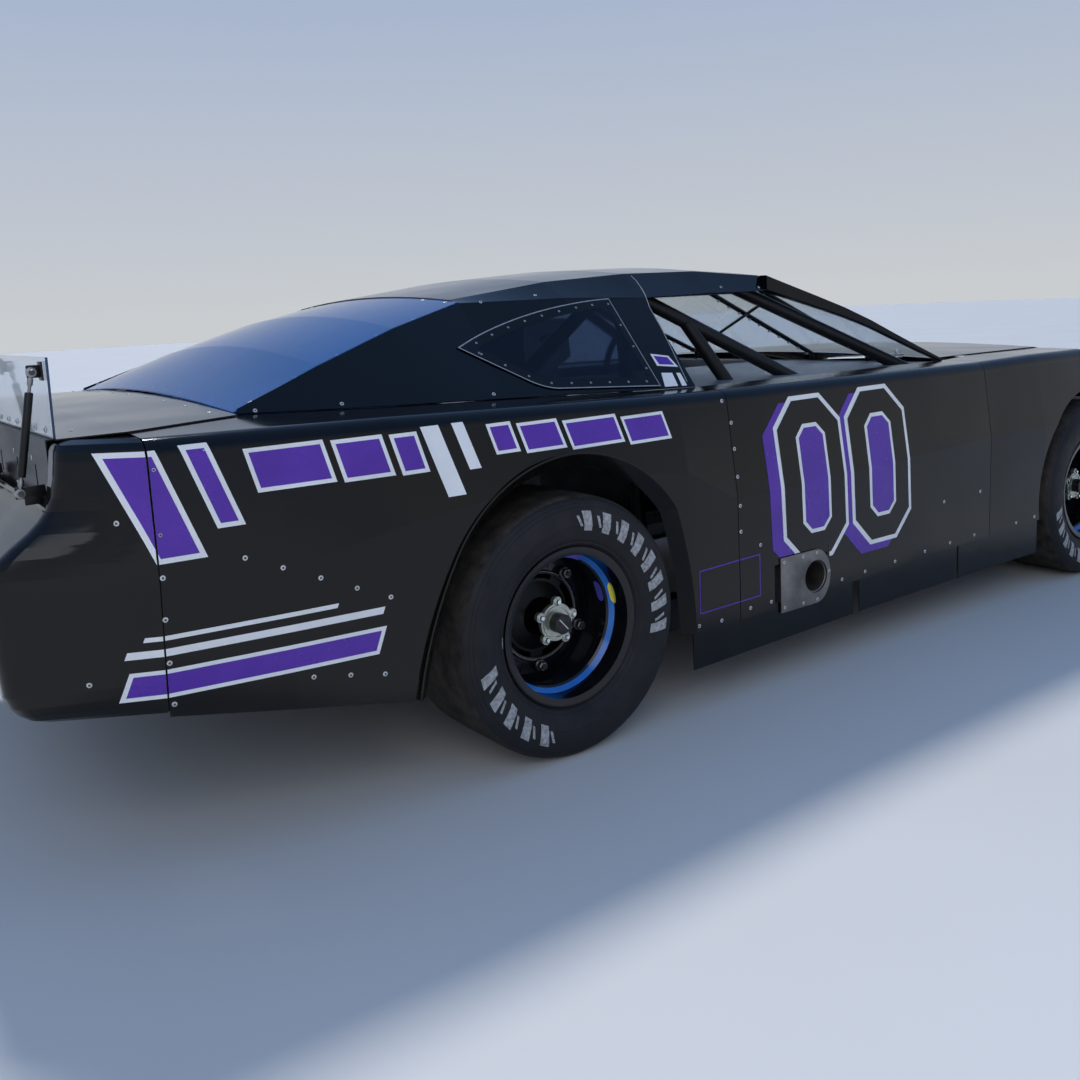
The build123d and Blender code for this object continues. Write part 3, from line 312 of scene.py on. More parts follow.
# Blue of the rim's cone band: a painted reflection of the sky
plain("ring_blue", (0.006, 0.09, 0.42), (0.02, 0.2, 0.62), (0.12, 0.22), 9.0)
plain("label_yellow", (0.7, 0.62, 0.05), (0.8, 0.72, 0.09), (0.4, 0.5))
plain("label_violet", (0.08, 0.07, 0.42), (0.14, 0.12, 0.55), (0.4, 0.5))
# Pale grey of the worn side bars, also used for the painted highlight on the bead
plain("tyre_mark", 0.17, 0.46, (0.6, 0.8), 130.0)
plain("pad_black", 0.012, 0.026, (0.7, 0.9), 160.0, 0.0005)
plain("pad_blue", (0.16, 0.4, 0.62), (0.22, 0.5, 0.72), (0.6, 0.8), 120.0, 0.0004)
plain("web_blue", (0.02, 0.05, 0.2), (0.03, 0.08, 0.28), (0.7, 0.9), 500.0, 0.0004)
plain("blade_edge", (0.01, 0.03, 0.08), (0.02, 0.05, 0.12), (0.2, 0.3), 30.0)
glass("blade_clear", (0.74, 0.78, 0.8), (0.04, 0.09), 0.97)
# Pale trim; along the side panes' edges it serves as a painted highlight
metal("trim_pale", 0.3, 0.42, (0.3, 0.45), 90.0, 0.4)
metal("washer_pale", 0.5, 0.66, (0.3, 0.45), 90.0, 0.4)
metal("hub_dark", 0.02, 0.05, (0.3, 0.55), 70.0, 0.6)
metal("star_metal", (0.42, 0.46, 0.44), (0.62, 0.6, 0.52), (0.2, 0.34), 45.0, 0.9)
metal("chrome", 0.7, 0.82, (0.12, 0.22), 60.0)


# Surfaces that the dressing sits on
def tree_of(*names):
    """Search tree over the meshes of some CAD nodes."""
    mesh = bmesh.new()
    for name in names:
        mesh.from_mesh(nodes[name].data)
    tree = BVHTree.FromBMesh(mesh)
    mesh.free()
    return tree


SKINS = tree_of(
    "nose", "hood", "fender_skins", "door_skins", "quarter_panels", "tail_cover",
    "deck_lid", "roof", "sail_panels", "skirts", "exhaust_plate",
)
FLANKS = tree_of("door_skins", "quarter_panels", "tail_cover", "fender_skins")
PANES = tree_of("quarter_windows")
REAR_PANE = tree_of("rear_window")
SCREEN = tree_of("windshield")
TIN = tree_of("cockpit_tin")
CLEAR_Y, CLEAR_Z = 1.4, 2.0
FLANK_Y, FLANK_MIN_Y, FLANK_MIN_TILT = 0.95, 0.8, 0.5
SEAM_NUDGES = (0.0, 0.004, -0.004, 0.008, -0.008)


def seen(px, py):
    """Point and normal where a place in the photograph lies on the skins."""
    across = (px - PHOTO_PIXELS / 2) / FOCAL_PIXELS
    down = (py - PHOTO_PIXELS / 2 - RISE_PIXELS) / FOCAL_PIXELS
    way = (forward + right * across - up * down).normalized()
    return SKINS.ray_cast(CAMERA_AT, way)[:2]


def beside(dx, z, side, tree=SKINS):
    """Point and normal on the flank at a place in the side view, also over a seam."""
    for nudge in SEAM_NUDGES:
        start = car(dx + nudge, side * CLEAR_Y, z)
        at, normal = tree.ray_cast(start, Vector((0, -side, 0)))[:2]
        if at is not None and abs(at.y) > FLANK_MIN_Y and abs(normal.y) > FLANK_MIN_TILT:
            slope = -normal.x / normal.y
            return car(dx, at.y - nudge * slope, z), normal
    return tree.find_nearest(car(dx, side * FLANK_Y, z))[:2]


def above(dx, y):
    """Point and normal on the skins at a place in the top view."""
    return SKINS.ray_cast(car(dx, y, CLEAR_Z), DOWN)[:2]


def outward(at, normal):
    """Normal turned to point away from the middle of the cabin."""
    return normal if normal.dot(at - CABIN_MIDDLE) > 0 else -normal


# Meshes
SHARP = radians(35)


def piece(mesh, name, materials, body="chassis", smooth=True):
    """Object made from a bmesh, riding on a body; its materials are given by name."""
    data = bpy.data.meshes.new(name)
    bmesh.ops.recalc_face_normals(mesh, faces=mesh.faces)
    mesh.to_mesh(data)
    mesh.free()
    for material in materials.split():
        data.materials.append(MATERIALS[material])
    if smooth:
        data.shade_smooth()
        data.set_sharp_from_angle(angle=SHARP)
    else:
        data.shade_flat()
    made = bpy.data.objects.new(name, data)
    bpy.context.scene.collection.objects.link(made)
    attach(made, body)
    return made


def facet(mesh, verts, material=0):
    mesh.faces.new(verts).material_index = material


def turn(mesh, at, axis, profile, sides=12, material=0, top=None, closed=True):
    """Form turned about an axis from (radius, height) rows; its top may differ in material."""
    crown = material if top is None else top
    aim = axis.to_track_quat("Z", "Y").to_matrix()
    rings = []
    for radius, height in profile:
        ring = []
        for step in range(sides):
            angle = step * tau / sides
            spoke = Vector((radius * cos(angle), radius * sin(angle), height))
            ring.append(mesh.verts.new(at + aim @ spoke))
        rings.append(ring)
    for low, high in zip(rings, rings[1:]):
        colour = crown if high is rings[-1] else material
        for step in range(sides):
            after = (step + 1) % sides
            facet(mesh, (low[step], low[after], high[after], high[step]), colour)
    if closed:
        facet(mesh, rings[-1], crown)


def rail(mesh, points, radius, sides, material=0):
    """Round bar through a few points."""
    for start, end in zip(points, points[1:]):
        way = end - start
        turn(mesh, start, way, ((radius, 0.0), (radius, way.length)), sides, material)


def sheet(mesh, rows, material=0):
    """Bands of quads from each row of points to the next."""
    for low, high in zip(rows, rows[1:]):
        near = [mesh.verts.new(at) for at in low]
        far = [mesh.verts.new(at) for at in high]
        for step in range(len(near) - 1):
            facet(mesh, (near[step], near[step + 1], far[step + 1], far[step]), material)


def between(low, high, steps):
    return [low.lerp(high, step / steps) for step in range(steps + 1)]


def block(mesh, low, high, bevel):
    """Small bracket between two corners, with its edges broken."""
    made = bmesh.ops.create_cube(mesh, size=1.0)["verts"]
    for vert in made:
        for axis in range(3):
            vert.co[axis] = low[axis] if vert.co[axis] < 0 else high[axis]
    edges = list(dict.fromkeys(edge for vert in made for edge in vert.link_edges))
    bmesh.ops.bevel(mesh, geom=edges, offset=bevel, segments=2, affect="EDGES", profile=0.6)


def fasten(mesh, at, way, stack):
    """Turned forms on one seat; each is its lift, profile, sides, material and top."""
    for lift, *form in stack:
        turn(mesh, at + way * lift, way, *form)


RIVET_WASHER = ((0.0058, 0.0), (0.0055, 0.001), (0.003, 0.0014))
RIVET_HEAD = ((0.0027, 0.0012), (0.0025, 0.002), (0.0014, 0.0024))


def rivet(mesh, at, normal, size=1.0):
    """Pale washer with a dark rivet head in it."""
    for material, profile in enumerate((RIVET_WASHER, RIVET_HEAD)):
        rows = [(radius * size, height * size) for radius, height in profile]
        turn(mesh, at, normal, rows, 12, material)


def skin_rivet(mesh, found, size=1.0):
    """Rivet at a point and normal found on a skin."""
    at, normal = found
    rivet(mesh, at, outward(at, normal), size)


# Flank graphics as thin vinyl, laid on the skins: corners are (dx, z)
PATCH_STEP = 0.009


def slanted(dx, z, wide, high, lean):
    """Corners of a stripe whose top leans forward."""
    return ((dx, z), (dx + wide, z), (dx + wide + lean, z + high), (dx + lean, z + high))


def octagon(dx, z, wide, high, cut, lean):
    """Corners of a tall figure with cut corners, leaning back at the top."""
    rows = ((cut, 0), (wide - cut, 0), (wide, cut), (wide, high - cut))
    rows += ((wide - cut, high), (cut, high), (0, high - cut), (0, cut))
    return tuple((dx + x - lean * y / high, z + y) for x, y in rows)


def shrunk(corners, amount):
    """Corners moved in by one amount along the mitres."""
    row = [Vector(corner) for corner in corners]
    made = []
    for before, at, after in zip(row[-1:] + row[:-1], row, row[1:] + row[:1]):
        one = (at - before).normalized()
        two = (after - at).normalized()
        inward = Vector((-one.y - two.y, one.x + two.x))
        made.append(at + inward * amount / (1 + one.dot(two)))
    return [tuple(corner) for corner in made]


def kept(corners, axis, limit, sign):
    """Part of a convex outline on one side of an upright or level line."""
    made = []
    row = [Vector(corner) for corner in corners]
    for one, two in zip(row, row[1:] + row[:1]):
        room_one, room_two = sign * (one[axis] - limit), sign * (two[axis] - limit)
        if room_one >= 0:
            made.append(tuple(one))
        if room_one * room_two < 0:
            made.append(tuple(one.lerp(two, room_one / (room_one - room_two))))
    return made if len(made) > 2 else []


def filled(corners):
    """Triangles over a convex outline, fine enough to follow a curved skin."""
    row = [Vector(corner) for corner in corners]
    sides = list(zip(row, row[1:] + row[:1]))
    edge = []
    for start, end in sides:
        count = max(1, ceil((end - start).length / PATCH_STEP))
        edge += [start.lerp(end, share / count) for share in range(count)]
    low = Vector((min(p.x for p in row), min(p.y for p in row)))
    high = Vector((max(p.x for p in row), max(p.y for p in row)))
    inner = []
    for i in range(1, int((high.x - low.x) / PATCH_STEP) + 1):
        for j in range(1, int((high.y - low.y) / PATCH_STEP) + 1):
            point = low + Vector((i * PATCH_STEP, j * PATCH_STEP))
            rooms = [(end - start).normalized().cross(point - start) for start, end in sides]
            if min(rooms) > PATCH_STEP / 3:
                inner.append(point)
    loop = [(k, (k + 1) % len(edge)) for k in range(len(edge))]
    points, _, faces, _, _, _ = delaunay_2d_cdt(edge + inner, loop, [], 1, 1e-6, False)
    return points, faces


PANEL_EDGES = (-1.3, -1.003, 0.598, 1.891, 3.06)
SEAM_HALF = 0.0018
PLATE_REAR, PLATE_FRONT = 0.759, 0.998
PLATE_TOP = 0.388


def panels_of(corners, side):
    """An outline cut at the panel seams and at the exhaust plate."""
    made = []
    for start, end in zip(PANEL_EDGES, PANEL_EDGES[1:]):
        part = kept(kept(corners, 0, start + SEAM_HALF, 1), 0, end - SEAM_HALF, -1)
        if side < 0 and start < PLATE_FRONT < end:
            over = kept(kept(part, 0, PLATE_REAR, 1), 0, PLATE_FRONT, -1)
            made.append(kept(part, 0, PLATE_REAR, -1))
            made.append(kept(over, 1, PLATE_TOP, 1))
            made.append(kept(part, 0, PLATE_FRONT, 1))
        else:
            made.append(part)
    return [part for part in made if part]


def lay(mesh, corners, lift, material, side):
    """One flat outline laid on a flank."""
    points, faces = filled(corners)
    verts = []
    for point in points:
        at, normal = beside(point.x, point.y, side, FLANKS)
        away = normal if normal.y * side >= 0 else -normal
        verts.append(mesh.verts.new(at + away * lift))
    for face in faces:
        facet(mesh, [verts[k] for k in face], material)


WHITE, PURPLE, BLACK = 0, 1, 2
WHITE_LIFT, PURPLE_LIFT = 0.001, 0.0013

# Slanted stripes: dx, z, width, height, lean of the top and white border (0 for plain white)
SLASHES = (
    (-1.005, 0.69, 0.1, 0.227, -0.082, 0.011),
    (-0.88, 0.745, 0.058, 0.176, -0.062, 0.01),
    (-0.79, 0.806, 0.175, 0.094, -0.024, 0.009),
    (-0.598, 0.802, 0.122, 0.094, -0.024, 0.009),
    (-0.459, 0.799, 0.07, 0.094, -0.024, 0.009),
    (-0.35, 0.735, 0.048, 0.166, -0.052, 0.0),
    (-0.284, 0.79, 0.032, 0.111, -0.035, 0.0),
    (-0.205, 0.815, 0.07, 0.074, -0.02, 0.008),
    (-0.118, 0.808, 0.122, 0.074, -0.02, 0.008),
    (0.021, 0.8, 0.175, 0.074, -0.02, 0.008),
    (0.213, 0.79, 0.15, 0.074, -0.02, 0.008),
    (-1.075, 0.496, 0.54, 0.016, 0.006, 0.0),
    (-1.04, 0.53, 0.4, 0.01, 0.004, 0.0),
    (-1.09, 0.405, 0.54, 0.062, 0.022, 0.009),
)
patches = []
for *outline, border in SLASHES:
    corners = slanted(*outline)
    patches.append((corners, WHITE_LIFT, WHITE))
    if border:
        patches.append((shrunk(corners, border), PURPLE_LIFT, PURPLE))

# Layers of each figure, from its shadow to its middle: octagon, lift and colour
FIGURE_LAYERS = (
    (-0.048, 0.33, 0.312, 0.51, 0.086, 0.022, 0.0008, PURPLE),
    (0.0, 0.352, 0.306, 0.504, 0.084, 0.022, 0.0013, WHITE),
    (0.014, 0.366, 0.278, 0.476, 0.078, 0.02, 0.0018, BLACK),
    (0.086, 0.438, 0.134, 0.332, 0.036, 0.012, 0.0023, WHITE),
    (0.098, 0.45, 0.11, 0.308, 0.028, 0.011, 0.0028, PURPLE),
)
FIGURE_DXS = (0.792, 1.118)
for figure_dx in FIGURE_DXS:
    for dx, *outline, lift, colour in FIGURE_LAYERS:
        patches.append((octagon(figure_dx + dx, *outline), lift, colour))
BLANK_FRAME = ((0.434, 0.287), (0.685, 0.289), (0.685, 0.416), (0.434, 0.412))
FRAME_LINE = 0.004
patches.append((BLANK_FRAME, 0.0008, PURPLE))
patches.append((shrunk(BLANK_FRAME, FRAME_LINE), 0.0013, BLACK))
for side, label in SIDES:
    mesh = bmesh.new()
    for corners, lift, material in patches:
        for part in panels_of(corners, side):
            lay(mesh, part, lift, material, side)
    finishes = "vinyl_white vinyl_purple gloss_black"
    piece(mesh, f"flank_graphics_{label}", finishes, smooth=False)

# Rivets through the skins, as (dx, z) from tail to nose
FLANK_RIVETS = (
    (-1.063, 0.778), (-0.993, 0.88), (-0.993, 0.749), (-0.997, 0.662), (-0.998, 0.574),
    (-0.996, 0.48), (-1.139, 0.452), (-0.992, 0.388), (-0.831, 0.675), (-0.754, 0.641),
    (-0.673, 0.604), (-0.592, 0.566), (-0.514, 0.531), (-0.702, 0.384), (-0.619, 0.37),
    (-0.539, 0.355), (0.43, 0.255), (0.52, 0.251), (0.578, 0.869), (0.606, 0.805),
    (0.607, 0.731), (0.607, 0.652), (0.607, 0.569), (0.607, 0.494), (0.688, 0.441),
    (0.64, 0.262), (0.73, 0.262), (1.06, 0.265), (1.176, 0.268), (1.334, 0.272),
    (1.5, 0.276), (1.647, 0.28), (1.796, 0.282), (1.609, 0.43), (1.828, 0.434),
    (2.06, 0.284), (2.18, 0.288),
    *((dx, z) for dx in (3.035, 3.085) for z in (0.7, 0.56, 0.4, 0.26)),
)
# Rows along the sail foot, rear window, windshield, roof edge and hood side: ends, count and size
EDGE_ROWS = (
    ((-0.69, 0.722, 0.958), (0.56, 0.795, 0.917), 7, 0.9, SKINS),
    ((-0.69, 0.69, 0.975), (-0.05, 0.54, 1.17), 6, 0.9, REAR_PANE),
    ((-0.04, 0.5, 1.19), (-0.04, 0.02, 1.2), 5, 0.9, REAR_PANE),
    ((-0.715, 0.64, 0.96), (-0.715, 0.04, 0.98), 6, 0.9, REAR_PANE),
    ((1.26, 0.526, 1.2), (1.84, 0.725, 0.925), 9, 0.8, SCREEN),
    ((0.04, 0.56, 1.19), (1.16, 0.562, 1.19), 7, 0.8, SKINS),
    ((1.92, 0.7, 0.895), (3.03, 0.69, 0.83), 9, 0.9, SKINS),
)
DECK_LID_DXS = (-1.075, -0.775)
DECK_LID_Y, DECK_LID_PITCH = -0.66, 0.165
mesh = bmesh.new()
for side in (-1, 1):
    for dx, z in FLANK_RIVETS:
        skin_rivet(mesh, beside(dx, z, side))
for start, end, count, size, tree in EDGE_ROWS:
    for place in between(Vector(start), Vector(end), count - 1):
        for side in (-1, 1):
            aim = car(place.x, place.y * side, place.z)
            skin_rivet(mesh, tree.find_nearest(aim)[:2], size)
for step in range(9):
    for dx in DECK_LID_DXS:
        skin_rivet(mesh, above(dx, DECK_LID_Y + step * DECK_LID_PITCH), 0.9)
piece(mesh, "skin_rivets", "washer_pale rivet_dark")

# Thin dark seams behind the panel gaps: dx, foot and top
SEAMS = ((-1.003, 0.372, 0.9), (0.598, 0.245, 0.862), (1.891, 0.275, 0.85))
SEAM_BACK_HALF, SEAM_BACK_DEPTH, SEAM_SIDESTEP = 0.006, 0.0042, 0.004
SEAM_STEPS = 16
mesh = bmesh.new()
for side in (-1, 1):
    for dx, low, high in SEAMS:
        rows = []
        for off in (-SEAM_BACK_HALF, SEAM_BACK_HALF):
            row = []
            for step in range(SEAM_STEPS + 1):
                z = low + (high - low) * step / SEAM_STEPS
                at, _ = beside(dx + off + copysign(SEAM_SIDESTEP, off), z, side)
                row.append(car(dx + off, at.y - side * SEAM_BACK_DEPTH, z))
            rows.append(row)
        sheet(mesh, rows)
piece(mesh, "seam_backing", "seam_black")


def arc_through(start, middle, end, steps):
    """Points on the circle through three places."""
    a, b, c = (Vector(place) for place in (start, middle, end))
    ab, ac = b - a, c - a
    twice = 2 * (ab.x * ac.y - ab.y * ac.x)
    to_x = (ac.y * ab.length_squared - ab.y * ac.length_squared) / twice
    to_y = (ab.x * ac.length_squared - ac.x * ab.length_squared) / twice
    centre = a + Vector((to_x, to_y))
    first = atan2(a.y - centre.y, a.x - centre.x)
    sweep = (atan2(c.y - centre.y, c.x - centre.x) - first + pi) % tau - pi
    radius = (a - centre).length
    angles = [first + sweep * k / steps for k in range(steps + 1)]
    return [centre + radius * Vector((cos(angle), sin(angle))) for angle in angles]


# Side panes: dark border with a rivet row, and a pale line at its outer edge that is a painted
# highlight of the pane's edge
PANE = (
    *arc_through((-0.104, 1.06), (0.15, 1.134), (0.457, 1.169), 16),
    (0.4592, 1.126), (0.4633, 1.042), (0.47, 0.915), (0.363, 0.9213), (0.256, 0.9277),
    *arc_through((0.15, 0.934), (0.096, 0.943), (0.05, 0.965), 6),
    (0.0, 0.996), (-0.05, 1.0267),
)[::-1]
PANE_MIDDLE = Vector((0.22, 1.03))
PANE_RIVET_INSET = 0.014
PANE_RIVET_PITCH = 0.062


def pane_point(point, side, lift):
    """Place and outward normal on the outer face of a side pane."""
    for pull in (0.0, 0.03, 0.06, 0.1):
        aim = point.lerp(PANE_MIDDLE, pull)
        start = car(aim.x, side * CLEAR_Y, aim.y)
        at, normal = PANES.ray_cast(start, Vector((0, -side, 0)))[:2]
        if at is not None:
            way = normal if normal.y * side > 0 else -normal
            slip = Vector((point.x - aim.x, 0, point.y - aim.y))
            slip.y = -(way.x * slip.x + way.z * slip.z) / way.y
            return at + slip + way * lift, way
    raise ValueError(point)


def pane_band(mesh, insets, side, lift, material):
    """Band between two insets of the pane's outline."""
    rows = []
    for inset in insets:
        loop = shrunk(PANE, inset)
        rows.append([pane_point(Vector(point), side, lift)[0] for point in loop + loop[:1]])
    sheet(mesh, rows, material)


for side, label in SIDES:
    mesh = bmesh.new()
    pane_band(mesh, (0.0015, 0.026), side, 0.0007, 2)
    # Pale line at the outer edge: a painted highlight of the pane's edge
    pane_band(mesh, (0.0005, 0.003), side, 0.0011, 0)
    line = [Vector(point) for point in shrunk(PANE, PANE_RIVET_INSET)]
    carried = 0.0
    for start, end in zip(line, line[1:] + line[:1]):
        length = (end - start).length
        while carried <= length:
            at, way = pane_point(start.lerp(end, carried / length), side, 0.001)
            rivet(mesh, at, way, 0.6)
            carried += PANE_RIVET_PITCH
        carried -= length
    piece(mesh, f"pane_border_{label}", "trim_pale rivet_dark gloss_black")

# Bright trim along the roof joint and the window opening, and blank labels at its foot
SAIL_MAX_Y, SAIL_TOP = -0.45, 1.26
PIXEL_STEP, PIXEL_STEPS = 0.4, 40


def sail_point(px, py, lift, side):
    """Place over the sail panel, at or left of a place in the photograph, on either side."""
    for step in range(PIXEL_STEPS):
        at, normal = seen(px - step * PIXEL_STEP, py)
        if at is not None and at.y < SAIL_MAX_Y and at.z < SAIL_TOP:
            at = at + outward(at, normal) * lift
            return at if side < 0 else Vector((at.x, -at.y, at.z))
    raise ValueError((px, py))


TRIM_PIXELS = (
    (631, 276), (636, 281), (641, 288), (645, 295), (652, 308),
    (661, 327), (670, 346), (679, 365), (687, 382),
)
TRIM_LIFT = 0.0006
# Four corners in pixels, lift over the skin, and material
LABELS = (
    (((650, 354), (668, 356), (678, 367), (657, 366)), 0.001, WHITE),
    (((653, 356), (667, 357.5), (674, 365), (659, 364.5)), 0.0014, PURPLE),
    (((661, 373), (672, 373), (678, 386), (665, 387)), 0.001, WHITE),
    (((676, 373), (680, 373), (687, 385.5), (682, 386)), 0.001, WHITE),
)
for side, label in SIDES:
    mesh = bmesh.new()
    rail(mesh, [sail_point(px, py, TRIM_LIFT, side) for px, py in TRIM_PIXELS], 0.0014, 8, 2)
    for corners, lift, material in LABELS:
        low_rear, low_front, high_front, high_rear = (Vector(corner) for corner in corners)
        ends = zip(between(low_rear, high_rear, 4), between(low_front, high_front, 4))
        lines = [between(rear, front, 6) for rear, front in ends]
        rows = [[sail_point(place.x, place.y, lift, side) for place in line] for line in lines]
        sheet(mesh, rows, material)
    piece(mesh, f"sail_labels_{label}", "vinyl_white vinyl_purple trim_pale")

# Wheels, with profiles as rows of (distance outboard of the wheel's middle, radius)
Wheel = namedtuple("Wheel", "label x side")
PLACES = (("fl", FRONT_X, 1), ("fr", FRONT_X, -1), ("rl", REAR_X, 1), ("rr", REAR_X, -1))
WHEELS = [Wheel(*place) for place in PLACES]
TYRE_HALF = (
    (0.1215, 0.1915), (0.1255, 0.197), (0.1258, 0.208), (0.13, 0.2135), (0.1355, 0.2165),
    (0.1375, 0.2195), (0.1375, 0.2225), (0.14, 0.2245), (0.144, 0.233), (0.1475, 0.242),
    (0.1505, 0.251), (0.153, 0.26), (0.1541, 0.264), (0.1556, 0.265), (0.1562, 0.269),
    (0.1566, 0.28), (0.1568, 0.29), (0.1562, 0.299), (0.1546, 0.308), (0.1536, 0.3125),
    (0.152, 0.3135), (0.1508, 0.317), (0.15, 0.3215), (0.1492, 0.3225), (0.1478, 0.3228),
    (0.1465, 0.3265), (0.143, 0.331), (0.1385, 0.3352), (0.133, 0.3385), (0.127, 0.3408),
    (0.12, 0.342), (0.1, 0.3426), (0.05, 0.3429), (0.0, 0.343),
)
WORN_FROM_R = 0.3315


def spot(wheel, out, radius, angle):
    """Place on a wheel: outboard distance, radius and angle in the side view."""
    x = wheel.x + radius * cos(angle)
    z = TYRE_R - wheel.side * radius * sin(angle)
    return Vector((x, wheel.side * (WHEEL_Y + out), z))


def wheel_ring(mesh, wheel, rows, material=0, start=0.0, sweep=tau, steps=128):
    """Surface swept round the wheel's axle."""
    whole = sweep >= tau
    count = steps if whole else steps + 1
    angles = [start + sweep * k / steps for k in range(count)]
    rings = []
    for out, radius in rows:
        ring = [mesh.verts.new(spot(wheel, out, radius, angle)) for angle in angles]
        rings.append(ring + ring[:1] if whole else ring)
    for low, high in zip(rings, rings[1:]):
        for k in range(steps):
            facet(mesh, (low[k], low[k + 1], high[k + 1], high[k]), material)


def wheel_piece(mesh, wheel, name, materials):
    """Piece that turns with its wheel."""
    return piece(mesh, f"{name}_{wheel.label}", materials, f"wheel_{wheel.label}")


def sidewall(radius):
    """Outboard distance of the tyre's side at one radius."""
    for (out, low), (out_next, high) in zip(TYRE_HALF, TYRE_HALF[1:]):
        if low <= radius <= high:
            return out + (out_next - out) * (radius - low) / (high - low)
    raise ValueError(radius)


# Worn pale bars on the side wall, in leaning pairs: degrees from the pair's start, width and radii
BAR_PAIR = ((0.0, 5.6, 0.253, 0.304), (7.2, 1.7, 0.264, 0.293))
BAR_LEAN = 3.2
BAR_LIFT = 0.0008
BAR_PITCH = 13.0
BAR_ARCS = ((-15.0, 8), (188.0, 5))
# Short pale arc on the bead: a painted highlight
BEAD_HIGHLIGHT = ((0.1372, 0.218), (0.1376, 0.2205))
MARK_AND_HIGHLIGHT, WORN = 1, 2


def side_bar(mesh, wheel, start, wide, low, high):
    rows = []
    inner = [radius for _, radius in TYRE_HALF if low < radius < high]
    for radius in (low, *inner, high):
        first = start + BAR_LEAN * (radius - low) / (high - low)
        angles = [radians(first + wide * k / 4) for k in range(5)]
        rows.append([spot(wheel, sidewall(radius) + BAR_LIFT, radius, angle) for angle in angles])
    sheet(mesh, rows, MARK_AND_HIGHLIGHT)


def tyre_skin(wheel):
    """Tyre with its side ribs, worn tread, pale bars, and a short pale arc on the bead as a painted
    highlight.
    """
    mesh = bmesh.new()
    split = next(k for k, (_, radius) in enumerate(TYRE_HALF) if radius > WORN_FROM_R)
    inboard = [(-out, radius) for out, radius in TYRE_HALF]
    wheel_ring(mesh, wheel, TYRE_HALF[: split + 1])
    wheel_ring(mesh, wheel, inboard[: split + 1][::-1])
    wheel_ring(mesh, wheel, list(TYRE_HALF[split:]) + inboard[split:-1][::-1], WORN)
    bmesh.ops.remove_doubles(mesh, verts=mesh.verts, dist=0.00001)
    for start, count in BAR_ARCS:
        for step in range(count):
            for on, *bar in BAR_PAIR:
                side_bar(mesh, wheel, start + step * BAR_PITCH + on, *bar)
    wheel_ring(mesh, wheel, BEAD_HIGHLIGHT, MARK_AND_HIGHLIGHT, radians(174), radians(7), 6)
    return wheel_piece(mesh, wheel, "tyre_skin", "rubber tyre_mark tread_worn")


# Blue band on the rim's cone, a painted reflection of the sky; black outer lip, and blank labels in
# its barrel
SKY_REFLECTION_CONE = ((0.0668, 0.1741), (0.0715, 0.1798), (0.0768, 0.1862))
OUTER_LIP = ((0.1295, 0.1875), (0.1335, 0.2025), (0.1337, 0.205))
CONE_LABEL = ((0.064, 0.1704), (0.076, 0.185))
WELL_R, BARREL_R = 0.1682, 0.1858
WELL_OUT, CONE_OUT, CONE_RISE = 0.062, 0.0625, 1.2
SKY_REFLECTION, YELLOW, VIOLET, RIM = range(4)
OVAL_STEPS, OVAL_END, OVAL_POWER = 14, 0.98, 3.5


def barrel(out):
    """Radius just inside the rim's barrel at one outboard distance."""
    return WELL_R if out < WELL_OUT else min(BARREL_R, WELL_R + (out - CONE_OUT) * CONE_RISE)


def oval_label(mesh, wheel, outs, angles, material):
    """Rounded label stuck inside the rim's barrel, between two angles in degrees."""
    middle, half = (outs[0] + outs[1]) / 2, (outs[1] - outs[0]) / 2
    rows = []
    for step in range(OVAL_STEPS + 1):
        share = OVAL_END * (2 * step / OVAL_STEPS - 1)
        wide = half * (1 - abs(share) ** OVAL_POWER) ** 0.5
        angle = radians(angles[0] + (angles[1] - angles[0]) * (share + 1) / 2)
        places = [middle + wide * k / 3 for k in range(-3, 4)]
        rows.append([spot(wheel, out, barrel(out), angle) for out in places])
    sheet(mesh, rows, material)


def rim_bands(wheel):
    mesh = bmesh.new()
    wheel_ring(mesh, wheel, SKY_REFLECTION_CONE, SKY_REFLECTION)
    wheel_ring(mesh, wheel, OUTER_LIP, RIM)
    oval_label(mesh, wheel, (0.0715, 0.0875), (4.5, 24.0), YELLOW)
    oval_label(mesh, wheel, (0.029, 0.059), (6.0, 27.0), VIOLET)
    wheel_ring(mesh, wheel, CONE_LABEL, VIOLET, radians(62), radians(16), 12)
    wheel_ring(mesh, wheel, CONE_LABEL, VIOLET, radians(205), radians(8), 8)
    finishes = "ring_blue label_yellow label_violet rim_black"
    wheel_piece(mesh, wheel, "rim_bands", finishes)


# Pressings of the wheel's disc: rolled inner edge with a pale steel ring on it as a painted highlight,
# and a raised frame between each two lugs
DISC_EDGE = ((-0.018, 0.124), (-0.0125, 0.122), (-0.0112, 0.119), (-0.0125, 0.114))
DISC_EDGE += ((-0.024, 0.1135),)
# Pale steel ring on the rolled edge: a painted highlight
DISC_EDGE_HIGHLIGHT = ((-0.0122, 0.1215), (-0.011, 0.1198), (-0.0111, 0.1188))
FRAME_FOOT, FRAME_TOP = -0.018, -0.015
FRAME_RADII = ((0.128, 0.1325), (0.16, 0.1645))
FRAME_END = ((FRAME_FOOT, 0.13), (FRAME_TOP, 0.132), (FRAME_TOP, 0.1625), (FRAME_FOOT, 0.164))
FRAME_EASE = 0.001
FRAME_HALF_TURN = 0.26
FRAME_END_TURN = 0.024


